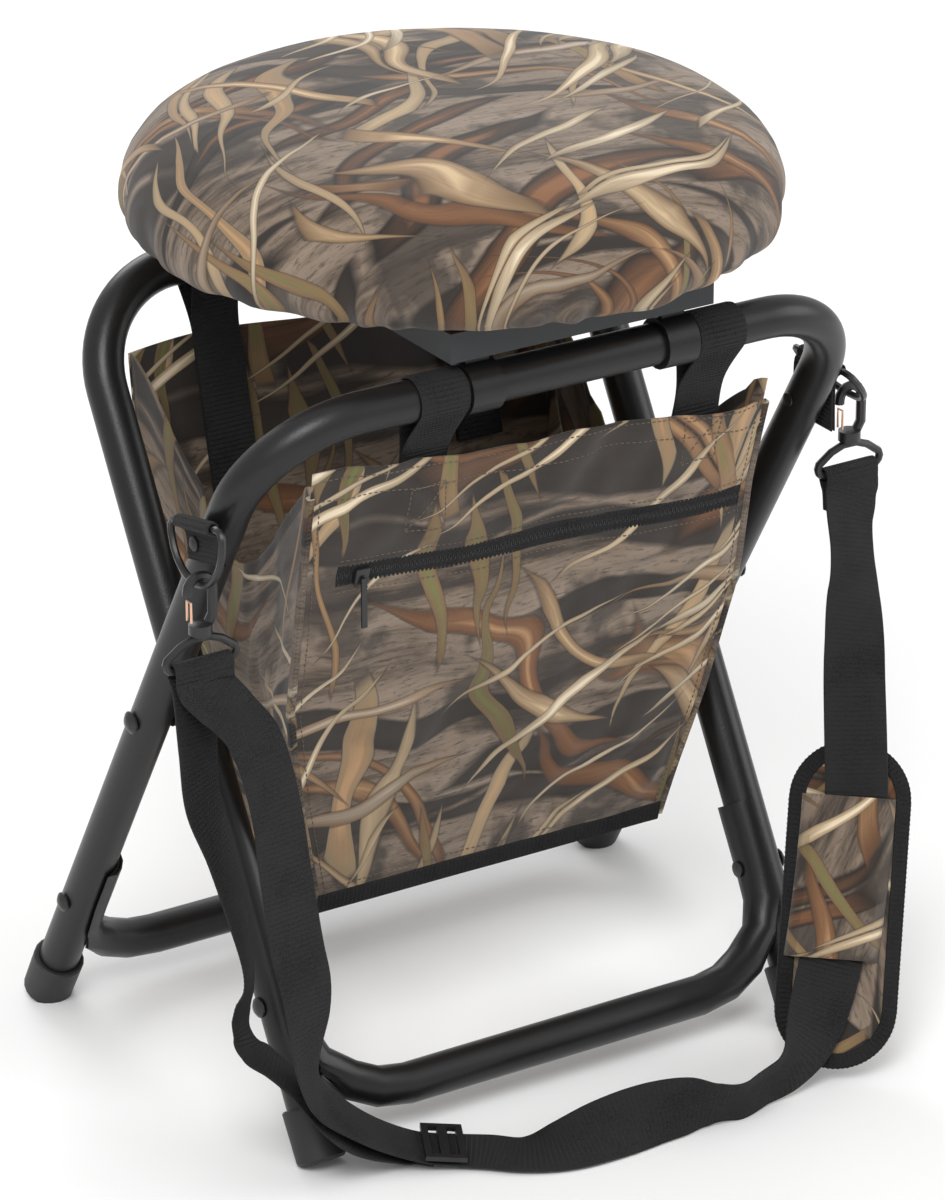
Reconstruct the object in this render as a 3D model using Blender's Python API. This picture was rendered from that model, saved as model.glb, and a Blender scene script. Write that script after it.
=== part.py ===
"""Folding blind stool: two crossed tube frames, a swivelling round seat, a hanging
fabric bag and a clip-on shoulder strap.

Metres, +Z up.  The origin is on the ground under the middle of the frames.  The
outer frame has its top bar at the front (-Y) and its feet at the back (+Y); the
inner frame crosses it the other way round.
"""

from math import asin, cos, pi, radians, sin

import bmesh
import bpy
from mathutils import Matrix, Vector

# ---------------------------------------------------------------- driving sizes
GAP = 0.0003                 # clearance left between pieces that touch

TUBE_R = 0.0111              # 22.2 mm round tube
TUBE_WALL = 0.0012
TUBE_SIDES = 16
BEND_STEPS = 5

OUTER_X = 0.181              # centre of an outer leg
INNER_X = 0.154              # centre of an inner leg
TOP_Y = 0.1165               # how far each top bar stands from the middle
TOP_Z = 0.4154               # centre height of the top bars
FOOT_Y = 0.127               # where a leg's centre line meets the ground
TOP_BEND = 0.058
BRACE_BEND = 0.057
BRACE_Z = 0.0258             # centre height of a tie's cross bar
BRACE_END_Z = 0.108          # height of a tie's upper ends
BRACE_FLAT_Z = 0.083         # a tie is fully flattened above this height
BRACE_RIVET_Z = 0.0774
BRACE_INSET = 0.0035         # how far a tie's straight ends start inside the leg's centre
TIE_GAP = 0.0005             # clearance between a leg and the tie's cupped end
CUP = 0.0030                 # thickness of a tie's flattened end
CUP_REACH = radians(88)      # how far a cupped end wraps each way round the leg
CUP_BORE_REACH = radians(70)

BOLT_R = 0.003               # pivot bolt
RIVET_R = 0.0025             # rivet through leg and tie
CAP_R = 0.0141               # rubber foot cap
CAP_LENGTH = 0.030
CAP_FLOOR = 0.004
CAP_END_Z = 0.003            # height of the middle of a cap's end face

MIDDLE_X = 0.0089            # the right hook hangs further out: the box's middle is this far right
SEAT_X = 0.006               # the seat group stands a little right of centre
TRAY_HALF_X = 0.080
TRAY_HALF_Y = 0.125
TRAY_TOP_Z = 0.450
TRAY_DEPTH = 0.016
SHEET = 0.0015               # plate thickness of the tray and the turntable
COLLAR_R = 0.0138
COLLAR_HALF = 0.0095
COLLAR_X = 0.0595            # collar centres, from the seat's middle
SADDLE_X = 0.046
BOARD_R = 0.155
CUSHION_R = 0.1736
CUSHION_TOP_Z = 0.525

BAG_TOP_Y = 0.1105           # outer face of a panel at the panel's top
BAG_TOP_Z = 0.378
BAG_BOTTOM_Y = 0.045
BAG_BOTTOM_Z = 0.106
PANEL = 0.0024               # thickness of a bag panel
FRONT_LOOP_X = 0.0845        # front webbing loops, from the seat's middle
REAR_LOOP_X = 0.077            # rear webbing loops, from the middle
LOOP_WIDTH = 0.029
WEB = 0.0014                 # thickness of webbing
ZIP_HALF = 0.1255
PULL_LENGTH = 0.0275
ZIP_Z = 0.3135
ZIP_SLOPE = -0.045           # the zip falls a little from left to right

DRING_Z = 0.3595             # centre height of a D-ring's straight side
DRING_X = 0.1980
DRING_HALF = 0.0265
DRING_DROP = 0.0310
DRING_WIRE = 0.0020
TAB_WIDTH = 0.036
TAB_SCREW = 0.0130           # depth of a tab's screw below the ring's straight side
HOOK_WIRE = 0.0028
# Each side's ring: its middle's Y, how far it is swung off the leg, how far its webbing
# tab is turned on the leg, and the tab's length below the ring's straight side.
DRINGS = {
    "left": (-0.082, radians(4), radians(12), 0.0205),
    "right": (-0.066, radians(40), 0.0, 0.034),
}
STRAP_WIDTH = 0.034

PIVOT_Z = TOP_Z - TOP_Y * TOP_Z / (TOP_Y + FOOT_Y)
FRONT_BAR = Vector((0, -TOP_Y, TOP_Z))
REAR_BAR = Vector((0, TOP_Y, TOP_Z))

# colour, roughness, metallic
LOOKS = {
    "tube": ((0.018, 0.018, 0.020), 0.38, 0.6),
    "steel": ((0.05, 0.05, 0.055), 0.45, 0.8),
    "zinc": ((0.45, 0.45, 0.46), 0.35, 0.9),
    "rubber": ((0.012, 0.012, 0.012), 0.6, 0.0),
    "plastic": ((0.03, 0.03, 0.033), 0.45, 0.0),
    "webbing": ((0.015, 0.015, 0.015), 0.9, 0.0),
    "camo": ((0.20, 0.15, 0.10), 0.9, 0.0),
    "board": ((0.45, 0.30, 0.17), 0.8, 0.0),
    "copper": ((0.70, 0.45, 0.32), 0.35, 0.9),
}


# ---------------------------------------------------------------- making nodes
def clear_scene():
    for obj in list(bpy.data.objects):
        bpy.data.objects.remove(obj)


def add(name, bm, look, origin=(0, 0, 0), parent=None):
    """A node from a bmesh in world coordinates, with its origin where it is asked for."""
    origin = Vector(origin)
    bmesh.ops.recalc_face_normals(bm, faces=bm.faces)
    bmesh.ops.translate(bm, vec=-origin, verts=bm.verts)
    mesh = bpy.data.meshes.new(name)
    bm.to_mesh(mesh)
    bm.free()
    obj = bpy.data.objects.new(name, mesh)
    bpy.context.scene.collection.objects.link(obj)
    obj.parent = parent
    obj.location = origin - place_of(parent)
    colour, roughness, metallic = LOOKS[look]
    material = bpy.data.materials.new(name)
    material.use_nodes = True
    shader = material.node_tree.nodes["Principled BSDF"]
    shader.inputs["Base Color"].default_value = (*colour, 1)
    shader.inputs["Roughness"].default_value = roughness
    shader.inputs["Metallic"].default_value = metallic
    mesh.materials.append(material)
    mesh.shade_smooth()
    mesh.set_sharp_from_angle(angle=radians(35))
    return obj


def place_of(empty):
    """Where a joint's empty stands in the world."""
    return empty.location + place_of(empty.parent) if empty else Vector((0, 0, 0))


def joint_empty(name, location, parent=None):
    """An empty on a joint's axis, the parent of the pieces that move about it."""
    empty = bpy.data.objects.new(name, None)
    empty.parent = parent
    empty.location = Vector(location) - place_of(parent)
    bpy.context.scene.collection.objects.link(empty)
    return empty


def bevel(obj, width, segments=2):
    modifier = obj.modifiers.new("Bevel", "BEVEL")
    modifier.width = width
    modifier.segments = segments
    modifier.limit_method = "ANGLE"
    return obj


def boolean(obj, tool, operation):
    """Join or cut with a tool object that is itself left out of the model."""
    modifier = obj.modifiers.new(operation.title(), "BOOLEAN")
    modifier.operation = operation
    modifier.object = tool
    modifier.solver = "EXACT"
    tool.hide_render = True
    tool.display_type = "WIRE"


# ---------------------------------------------------------------- bmesh shapes
def turned(profile, origin, axis, steps=24):
    """A body of revolution from (radius, distance along the axis) points.

    A profile that starts on the axis also ends on it; any other is a closed ring.
    """
    bm = bmesh.new()
    turn = Vector((0, 0, 1)).rotation_difference(Vector(axis)).to_matrix()
    origin = Vector(origin)
    rows = []
    for radius, along in profile:
        angles = [0] if radius == 0 else [2 * pi * i / steps for i in range(steps)]
        rows.append([bm.verts.new(origin + turn @ Vector((radius * cos(a), radius * sin(a), along)))
                     for a in angles])
    if profile[0][0] > 0:
        rows.append(rows[0])
    for low, high in zip(rows, rows[1:]):
        for i in range(steps):
            j = (i + 1) % steps
            corners = [low[i % len(low)], low[j % len(low)], high[j % len(high)], high[i % len(high)]]
            bm.faces.new(dict.fromkeys(corners))
    return bm


def rod(radius, start, end, steps=16):
    start, end = Vector(start), Vector(end)
    length = (end - start).length
    return turned([(0, 0), (radius, 0), (radius, length), (0, length)], start, end - start, steps)


def box(low, high):
    bm = bmesh.new()
    bmesh.ops.create_cube(bm, size=1)
    low, high = Vector(low), Vector(high)
    bmesh.ops.transform(bm, verts=bm.verts,
                        matrix=Matrix.Translation((low + high) / 2) @ Matrix.Diagonal((*(high - low), 1)))
    return bm


def skin(bm, rings, cyclic=False):
    """Side faces between matching rings of vertices."""
    pairs = list(zip(rings, rings[1:] + rings[:1])) if cyclic else list(zip(rings, rings[1:]))
    for a, b in pairs:
        for i in range(len(a)):
            j = (i + 1) % len(a)
            bm.faces.new((a[i], a[j], b[j], b[i]))


def rings_along(bm, points, sides, outline, cyclic=False):
    """Rings of vertices along points; `sides` gives each point's width direction."""
    rings = []
    count = len(points)
    for i, point in enumerate(points):
        before = points[i - 1] if cyclic or i else point
        after = points[(i + 1) % count] if cyclic or i < count - 1 else point
        along = (after - before).normalized()
        side = (sides[i] - along * sides[i].dot(along)).normalized()
        normal = along.cross(side)
        rings.append([bm.verts.new(point + side * u + normal * v) for u, v in outline])
    return rings


def circle(radius, count):
    return [(radius * cos(2 * pi * i / count), radius * sin(2 * pi * i / count)) for i in range(count)]


def bar(points, sides, outline, cyclic=False):
    """A solid bar of any section, along points, with flat ends."""
    bm = bmesh.new()
    rings = rings_along(bm, points, sides, outline, cyclic)
    skin(bm, rings, cyclic)
    if not cyclic:
        bm.faces.new(rings[0])
        bm.faces.new(rings[-1])
    return bm


def tube(points, normal):
    """A hollow tube open at both ends, along points in a plane with that normal."""
    bm = bmesh.new()
    sides = [normal] * len(points)
    outer = rings_along(bm, points, sides, circle(TUBE_R, TUBE_SIDES))
    inner = rings_along(bm, points, sides, circle(TUBE_R - TUBE_WALL, TUBE_SIDES))
    skin(bm, outer)
    skin(bm, inner)
    skin(bm, [outer[0], inner[0]])
    skin(bm, [outer[-1], inner[-1]])
    return bm


def cupped_tie(points, leg_x, normal):
    """A tie tube whose ends are pressed flat and cupped round the inside of the legs.

    Where the tie's centre line nears a leg's, its round section becomes a crescent.
    """
    bm = bmesh.new()
    outer, inner = [], []
    last = len(points) - 1
    for i, centre in enumerate(points):
        along = (points[min(i + 1, last)] - points[max(i - 1, 0)]).normalized()
        side = 1 if centre.x > 0 else -1
        flat = max(0, 1 - (leg_x - abs(centre.x)) / (2 * TUBE_R))
        leg = Vector((side * leg_x, centre.y, centre.z))
        for rows, wall in ((outer, 0), (inner, TUBE_WALL)):
            ring = tie_ring(centre, leg, along.cross(normal), -X * side, normal, flat, wall)
            rows.append([bm.verts.new(point) for point in ring])
    for rows in (outer, inner, [outer[0], inner[0]], [outer[-1], inner[-1]]):
        skin(bm, rows)
    return bm


def tie_ring(centre, leg, across, inward, normal, flat, wall):
    """One ring of a tie: round where flat is 0, a crescent on the leg's inside where it is 1."""
    reach = CUP_BORE_REACH if wall else CUP_REACH
    down = inward.cross(normal)
    ring = []
    for i in range(TUBE_SIDES):
        angle = 2 * pi * i / TUBE_SIDES
        spoke = (across * cos(angle) + normal * sin(angle)) * (TUBE_R - wall)
        turn = asin(sin(angle)) / (pi / 2) * reach
        if abs(cos(angle)) < 0.01:
            radius = TUBE_R + TIE_GAP + CUP / 2
        elif cos(angle) > 0:
            radius = TUBE_R + TIE_GAP + CUP - wall
        else:
            radius = TUBE_R + TIE_GAP + wall
        crescent = leg + (inward * cos(turn) + normal * sin(turn)) * radius + down * spoke.dot(down)
        least = radius if flat else TUBE_R + TIE_GAP + wall
        ring.append(clear_of_leg((centre + spoke).lerp(crescent, flat), leg, inward, normal, least))
    return ring


def clear_of_leg(point, leg, inward, normal, least):
    """Push a point straight out from a leg's centre line to at least that distance."""
    offset = inward * (point - leg).dot(inward) + normal * (point - leg).dot(normal)
    return point if offset.length >= least else point + offset * (least / offset.length - 1)


def slab(rows, offset):
    """A closed slab: a grid of points, and the same grid moved by offset."""
    bm = bmesh.new()
    near = [[bm.verts.new(p) for p in row] for row in rows]
    far = [[bm.verts.new(p + offset) for p in row] for row in rows]
    for grid in (near, far):
        for a, b in zip(grid, grid[1:]):
            for i in range(len(a) - 1):
                bm.faces.new((a[i], a[i + 1], b[i + 1], b[i]))
    for side in (lambda g: g[0], lambda g: g[-1],
                 lambda g: [row[0] for row in g], lambda g: [row[-1] for row in g]):
        a, b = side(near), side(far)
        for i in range(len(a) - 1):
            bm.faces.new((a[i], a[i + 1], b[i + 1], b[i]))
    return bm


def webbing_outline(width, thickness=WEB):
    return [(-width / 2, -thickness / 2), (width / 2, -thickness / 2),
            (width / 2, thickness / 2), (-width / 2, thickness / 2)]


def arc(centre, a_axis, b_axis, radius, start, end, steps):
    """Points on an arc: centre + radius (cos a_axis + sin b_axis), angles in degrees."""
    angles = [radians(start + (end - start) * i / steps) for i in range(steps + 1)]
    return [centre + a_axis * (radius * cos(t)) + b_axis * (radius * sin(t)) for t in angles]


X, Y, Z = Vector((1, 0, 0)), Vector((0, 1, 0)), Vector((0, 0, 1))


# ---------------------------------------------------------------- the two frames
def leg_direction(front):
    """Unit vector down a leg; front is -1 for the frame whose top bar is at -Y."""
    return Vector((0, -front * (TOP_Y + FOOT_Y), -TOP_Z)).normalized()


def leg_point(x, front, z):
    """The point of a leg's centre line at height z."""
    return Vector((x, front * (TOP_Y - (TOP_Z - z) * (TOP_Y + FOOT_Y) / TOP_Z), z))


def u_points(half_x, corner_z, end_z, bend, front, up):
    """A U in the leg plane: cross bar at corner_z, legs ending at end_z.

    up is 1 for an inverted U, whose legs go down, and -1 for one whose legs go up.
    """
    down = leg_direction(front) * up
    corner = leg_point(0, front, corner_z)
    points = [leg_point(-half_x, front, end_z)]
    points += arc(corner - X * (half_x - bend) + down * bend, -X, -down, bend, 0, 90, BEND_STEPS)
    points += arc(corner + X * (half_x - bend) + down * bend, X, -down, bend, 90, 0, BEND_STEPS)
    points.append(leg_point(half_x, front, end_z))
    return points


def tie_points(half_x, front):
    """A tie's centre line: its straight ends run up to the leg's centre line."""
    points = u_points(half_x - BRACE_INSET, BRACE_Z, BRACE_FLAT_Z, BRACE_BEND, front, -1)
    flat_ends = [leg_point(side * half_x, front, z) for side, z in
                 ((-1, BRACE_END_Z), (-1, BRACE_FLAT_Z), (1, BRACE_FLAT_Z), (1, BRACE_END_Z))]
    return flat_ends[:2] + points[1:-1] + flat_ends[2:]


def through_hole(obj, name, x_range, y, z, radius):
    """Cut a round hole along X."""
    tool = add(name, rod(radius, (x_range[0], y, z), (x_range[1], y, z), 12), "steel")
    boolean(obj, tool, "DIFFERENCE")


def headed_pin(head_x, tip_x, y, z, radius, head_r, head_height, tip_r, tip_height):
    """A pin along X: domed head outside head_x, clenched or nutted end past tip_x."""
    way = -1 if tip_x < head_x else 1
    length = abs(tip_x - head_x)
    profile = [(0, -head_height), (head_r * 0.6, -head_height * 0.8), (head_r, -head_height * 0.3),
               (head_r, 0), (radius, 0), (radius, length)]
    if tip_r:
        profile += [(tip_r, length), (tip_r, length + tip_height * 0.5)]
    profile.append((0, length + tip_height))
    return turned(profile, (head_x, y, z), (way, 0, 0), 12)


def frame(name, half_x, front, hinge=None):
    """One bent leg frame with its lower tie, rivets and rubber feet."""
    origin = hinge.location if hinge else (0, 0, 0)
    direction = leg_direction(front)
    cap_end = leg_point(0, front, CAP_END_Z)
    leg_end = cap_end - direction * (CAP_FLOOR + 2 * GAP)
    plane = X.cross(direction)
    legs = add(f"{name}_frame_tube",
               tube(u_points(half_x, TOP_Z, leg_end.z, TOP_BEND, front, 1), plane),
               "tube", origin, hinge)
    tie_inside = half_x - (TUBE_R + TIE_GAP + CUP + GAP)
    tie = add(f"{name}_brace_tube", cupped_tie(tie_points(half_x, front), half_x, plane),
              "tube", origin, hinge)
    rivet_y = leg_point(0, front, BRACE_RIVET_Z).y
    for side, label in ((-1, "left"), (1, "right")):
        reach = (side * (half_x - 2 * TUBE_R), side * (half_x + 2 * TUBE_R))
        through_hole(legs, f"cut_{name}_leg_{label}", reach, rivet_y, BRACE_RIVET_Z, RIVET_R + GAP)
        through_hole(tie, f"cut_{name}_tie_{label}", reach, rivet_y, BRACE_RIVET_Z, RIVET_R + GAP)
        through_hole(legs, f"cut_{name}_pivot_{label}", reach, 0, PIVOT_Z, BOLT_R + GAP)
        add(f"{name}_brace_rivet_{label}",
            headed_pin(side * (half_x + TUBE_R + GAP), side * tie_inside, rivet_y,
                       BRACE_RIVET_Z, RIVET_R, 0.0055, 0.0032, 0.0045, 0.0022), "steel", origin, hinge)
        foot_cap(f"{name}_foot_cap_{label}", side * half_x, front, origin, hinge)
    return legs


def foot_cap(name, x, front, origin, hinge):
    """A rubber cap on a leg's end, with a worn flat where it stands on the ground."""
    direction = leg_direction(front)
    end = leg_point(x, front, CAP_END_Z)
    bore = TUBE_R + GAP
    profile = [(0, 0), (CAP_R - 0.0022, 0), (CAP_R - 0.0004, 0.0018), (CAP_R, CAP_LENGTH - 0.001),
               (CAP_R - 0.001, CAP_LENGTH), (bore, CAP_LENGTH), (bore, CAP_FLOOR), (0, CAP_FLOOR)]
    cap = add(name, turned(profile, end, -direction, 20), "rubber", origin, hinge)
    ground = add(f"cut_{name}", box((x - 0.05, end.y - 0.05, -0.05), (x + 0.05, end.y + 0.05, 0)), "rubber")
    boolean(cap, ground, "DIFFERENCE")


def pivots():
    """Shoulder bolts along X that both frames turn on, with spacers and cap nuts."""
    for side, label in ((-1, "left"), (1, "right")):
        outside = side * (OUTER_X + TUBE_R + GAP)
        inside = side * (INNER_X - TUBE_R - GAP)
        add(f"pivot_bolt_{label}",
            headed_pin(outside, inside - side * 0.0042, 0, PIVOT_Z, BOLT_R, 0.0062, 0.0036, 0, 0),
            "steel")
        start = side * (INNER_X + TUBE_R + GAP)
        width = OUTER_X - INNER_X - 2 * TUBE_R - 2 * GAP
        ring = [(BOLT_R + GAP, 0), (0.0075, 0), (0.0075, width), (BOLT_R + GAP, width)]
        add(f"pivot_spacer_{label}", turned(ring, (start, 0, PIVOT_Z), (side, 0, 0), 16), "plastic")
        nut = [(0, 0.0066), (0.0035, 0.0062), (0.0058, 0.0035), (0.0058, 0), (BOLT_R + GAP, 0),
               (BOLT_R + GAP, 0.0048), (0, 0.0048)]
        add(f"pivot_nut_{label}", turned(nut, (inside, 0, PIVOT_Z), (-side, 0, 0), 12), "steel")


# ---------------------------------------------------------------- seat
def seat_tray(hinge):
    """A folded plate: flat top with a flange turned down on all four sides."""
    low = Vector((SEAT_X - TRAY_HALF_X, -TRAY_HALF_Y, TRAY_TOP_Z - TRAY_DEPTH))
    high = Vector((SEAT_X + TRAY_HALF_X, TRAY_HALF_Y, TRAY_TOP_Z))
    bm = box(low, high)
    bottom = min(bm.faces, key=lambda face: face.calc_center_median().z)
    bmesh.ops.inset_region(bm, faces=[bottom], thickness=SHEET)
    hollow = bmesh.ops.extrude_discrete_faces(bm, faces=[bottom])["faces"][0]
    bmesh.ops.translate(bm, vec=(0, 0, TRAY_DEPTH - SHEET), verts=hollow.verts)
    tray = add("seat_tray", bm, "steel", FRONT_BAR, hinge)
    hole = add("cut_seat_tray", rod(0.0045, (SEAT_X, 0, TRAY_TOP_Z - 0.01), (SEAT_X, 0, TRAY_TOP_Z + 0.01), 16),
               "steel")
    boolean(tray, hole, "DIFFERENCE")


def hinge_collar(name, x, hinge):
    """A collar that turns on the front bar, with a lug up to the tray."""
    bore = TUBE_R + GAP
    ring = [(bore, 0), (COLLAR_R, 0), (COLLAR_R, 2 * COLLAR_HALF), (bore, 2 * COLLAR_HALF)]
    collar = add(name, turned(ring, FRONT_BAR + X * (x - COLLAR_HALF), X, 20), "steel", FRONT_BAR, hinge)
    lug_low = FRONT_BAR + Vector((x - 0.007, -0.0015, COLLAR_R - 0.0015))
    lug_high = Vector((x + 0.007, -TOP_Y + 0.0015, TRAY_TOP_Z - SHEET - GAP))
    boolean(collar, add(f"join_{name}", box(lug_low, lug_high), "steel"), "UNION")


def rest_saddle(name, x, hinge):
    """A block under the tray whose hollow foot sits on the rear bar."""
    low = REAR_BAR + Vector((x - 0.008, -0.012, 0.0074))
    high = Vector((x + 0.008, TOP_Y + 0.006, TRAY_TOP_Z - SHEET - GAP))
    saddle = add(name, box(low, high), "plastic", FRONT_BAR, hinge)
    seat = add(f"cut_{name}", rod(TUBE_R + GAP, REAR_BAR + X * (x - 0.02), REAR_BAR + X * (x + 0.02), 24),
               "plastic")
    boolean(saddle, seat, "DIFFERENCE")


def turntable(hinge, turn):
    """Lower plate, ball cage, upper plate and the hollow rivet they turn on."""
    def square_plate(low_z, half, hole_r, name, parent, origin):
        plate = add(name, box((SEAT_X - half, -half, low_z), (SEAT_X + half, half, low_z + SHEET)),
                    "zinc", origin, parent)
        tool = add(f"cut_{name}", rod(hole_r, (SEAT_X, 0, low_z - 0.01), (SEAT_X, 0, low_z + 0.01), 16),
                   "zinc")
        boolean(plate, tool, "DIFFERENCE")

    centre = Vector((SEAT_X, 0, 0))
    low_z = TRAY_TOP_Z + GAP
    square_plate(low_z, 0.060, 0.0045, "swivel_lower_plate", hinge, FRONT_BAR)
    cage_z = low_z + SHEET + GAP
    cage = [(0.040, 0), (0.050, 0), (0.051, 0.0024), (0.050, 0.0048), (0.040, 0.0048), (0.039, 0.0024)]
    add("swivel_ball_cage", turned(cage, centre + Z * cage_z, Z, 24), "zinc", FRONT_BAR, hinge)
    high_z = cage_z + 0.0048 + GAP
    square_plate(high_z, 0.055, 0.0045, "swivel_upper_plate", turn, place_of(turn))
    under = TRAY_TOP_Z - SHEET - GAP
    top = high_z + SHEET + GAP
    rivet = [(0, under - 0.0015), (0.008, under - 0.0015), (0.008, under), (0.0042, under),
             (0.0042, top), (0.008, top), (0.008, top + 0.0015), (0, top + 0.0015)]
    add("swivel_rivet", turned(rivet, centre, Z, 16), "zinc", FRONT_BAR, hinge)
    return high_z + SHEET + GAP


def seat_top(turn, board_z):
    """The plywood board and the padded cushion that wraps over its edge."""
    origin = place_of(turn)
    centre = Vector((SEAT_X, 0, 0))
    board_top = board_z + 0.010
    board = [(0.012, board_z), (BOARD_R, board_z), (BOARD_R, board_top), (0.012, board_top)]
    add("seat_board", turned(board, centre, Z, 36), "board", origin, turn)
    r, top = CUSHION_R, CUSHION_TOP_Z
    under = board_top + GAP
    inside = BOARD_R + GAP
    profile = [(0, top), (r * 0.5, top), (r * 0.75, top - 0.006), (r * 0.88, top - 0.0125),
               (r * 0.955, top - 0.023), (r * 0.99, top - 0.036), (r, top - 0.0475),
               (r * 0.985, top - 0.058), (r * 0.945, board_z), (inside, board_z), (inside, under),
               (0, under)]
    add("seat_cushion", turned(profile, centre, Z, 36), "camo", origin, turn)


# ---------------------------------------------------------------- bag
def panel_y(z):
    """Distance of a panel's outer face from the middle plane, at height z."""
    share = (BAG_TOP_Z - z) / (BAG_TOP_Z - BAG_BOTTOM_Z)
    return BAG_TOP_Y + (BAG_BOTTOM_Y - BAG_TOP_Y) * share


def half_width(z):
    """Half of a panel's width at height z: straight, then drawn in below."""
    knee, low, full, least = 0.235, BAG_BOTTOM_Z, 0.139, 0.110
    return full if z > knee else least + (full - least) * sin((z - low) / (knee - low) * pi / 2)


def heights(low, high, count):
    return [low + (high - low) * i / count for i in range(count + 1)]


def bag_panel(name, front, hinge):
    """A front or back panel, leaning inwards towards the bottom."""
    rows = [[Vector((x * half_width(z), front * panel_y(z), z)) for x in (-1, -0.5, 0, 0.5, 1)]
            for z in heights(BAG_BOTTOM_Z, BAG_TOP_Z, 7)]
    origin = hinge.location if hinge else (0, 0, 0)
    add(name, slab(rows, Vector((0, -front * PANEL, 0))), "camo", origin, hinge)


def gusset_top(y):
    """The gusset's hem dips between the two panels."""
    return BAG_TOP_Z - 0.004 - 0.080 * cos(y / BAG_TOP_Y * pi / 2) ** 1.5


def bag_gusset(name, side):
    """A side of the bag, inside the legs: it tucks in, and its hem dips, in the middle."""
    rows = []
    for across in (-1, -0.6, -0.2, 0.2, 0.6, 1):
        top = gusset_top(across * (BAG_TOP_Y - 0.004))
        tuck = 0.0005 + 0.012 * cos(across * pi / 2)
        row = []
        for z in heights(BAG_BOTTOM_Z + 0.0035, top, 6):
            y = across * (panel_y(z) - PANEL - 0.0008)
            row.append(Vector((side * (half_width(z) - tuck), y, z)))
        rows.append(row)
    add(name, slab(rows, Vector((-side * PANEL, 0, 0))), "camo")


def bag_bottom():
    half_x = half_width(BAG_BOTTOM_Z) - 0.004
    half_y = BAG_BOTTOM_Y - PANEL - 0.0012
    z = BAG_BOTTOM_Z
    rows = [[Vector((x * half_x, y * half_y, z)) for x in (-1, 0, 1)] for y in (-1, 0, 1)]
    add("bag_bottom", slab(rows, Z * PANEL), "camo")


def webbing_loop(name, x, front, tail_z, hinge):
    """Webbing over a top bar, both tails sewn inside the panel."""
    bar_centre = Vector((x, front * TOP_Y, TOP_Z))
    radius = TUBE_R + GAP + WEB / 2
    outward = Y * front
    inner_face = PANEL + GAP + WEB / 2 + 0.0002

    def tail(z, layer):
        return Vector((x, front * (panel_y(z) - inner_face - layer * (WEB + GAP)), z))

    over = arc(bar_centre, outward, Z, radius, -36, 192, 14)
    joint_z = BAG_TOP_Z + 0.006
    points = [tail(tail_z, 0), tail(BAG_TOP_Z - 0.02, 0), tail(joint_z, 0)] + over
    points += [tail(joint_z, 1), tail(BAG_TOP_Z - 0.02, 1), tail(tail_z, 1)]
    origin = hinge.location if hinge else (0, 0, 0)
    add(name, bar(points, [X] * len(points), webbing_outline(LOOP_WIDTH)), "webbing", origin, hinge)


def zipper():
    """Coil zip along the front panel, its slider closed at the left, the pull hanging."""
    lean = Vector((0, BAG_BOTTOM_Y - BAG_TOP_Y, BAG_TOP_Z - BAG_BOTTOM_Z)).normalized()
    out = X.cross(lean)
    run = (X + lean * ZIP_SLOPE).normalized()
    rise = out.cross(run)
    middle = Vector((0, -panel_y(ZIP_Z), ZIP_Z)) + out * (GAP + 0.0005)

    def lying(name, x, half_x, half_up, start, thickness, origin=(0, 0, 0), parent=None):
        centre = middle + run * x + out * start
        rows = [[centre + run * (i * half_x) + rise * (j * half_up) for i in (-1, 1)] for j in (-1, 1)]
        return add(name, slab(rows, out * thickness), "plastic", origin, parent)

    lying("zipper_tape", 0, ZIP_HALF, 0.0055, -0.0005, 0.001)
    closed_x = -ZIP_HALF + 0.014
    face = middle + run * closed_x
    slide = joint_empty("zipper_slide", face)
    bevel(lying("zipper_slider", closed_x, 0.0042, 0.0048, 0.0005 + GAP, 0.0026, face, slide), 0.0008)
    hinge_at = face + out * 0.0046
    pull = joint_empty("zipper_pull_swing", hinge_at, slide)
    points = [hinge_at - Z * (PULL_LENGTH * i / 4) for i in range(5)]
    add("zipper_pull", bar(points, [X] * 5, webbing_outline(0.0032, 0.0012)), "plastic", hinge_at, pull)


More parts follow.
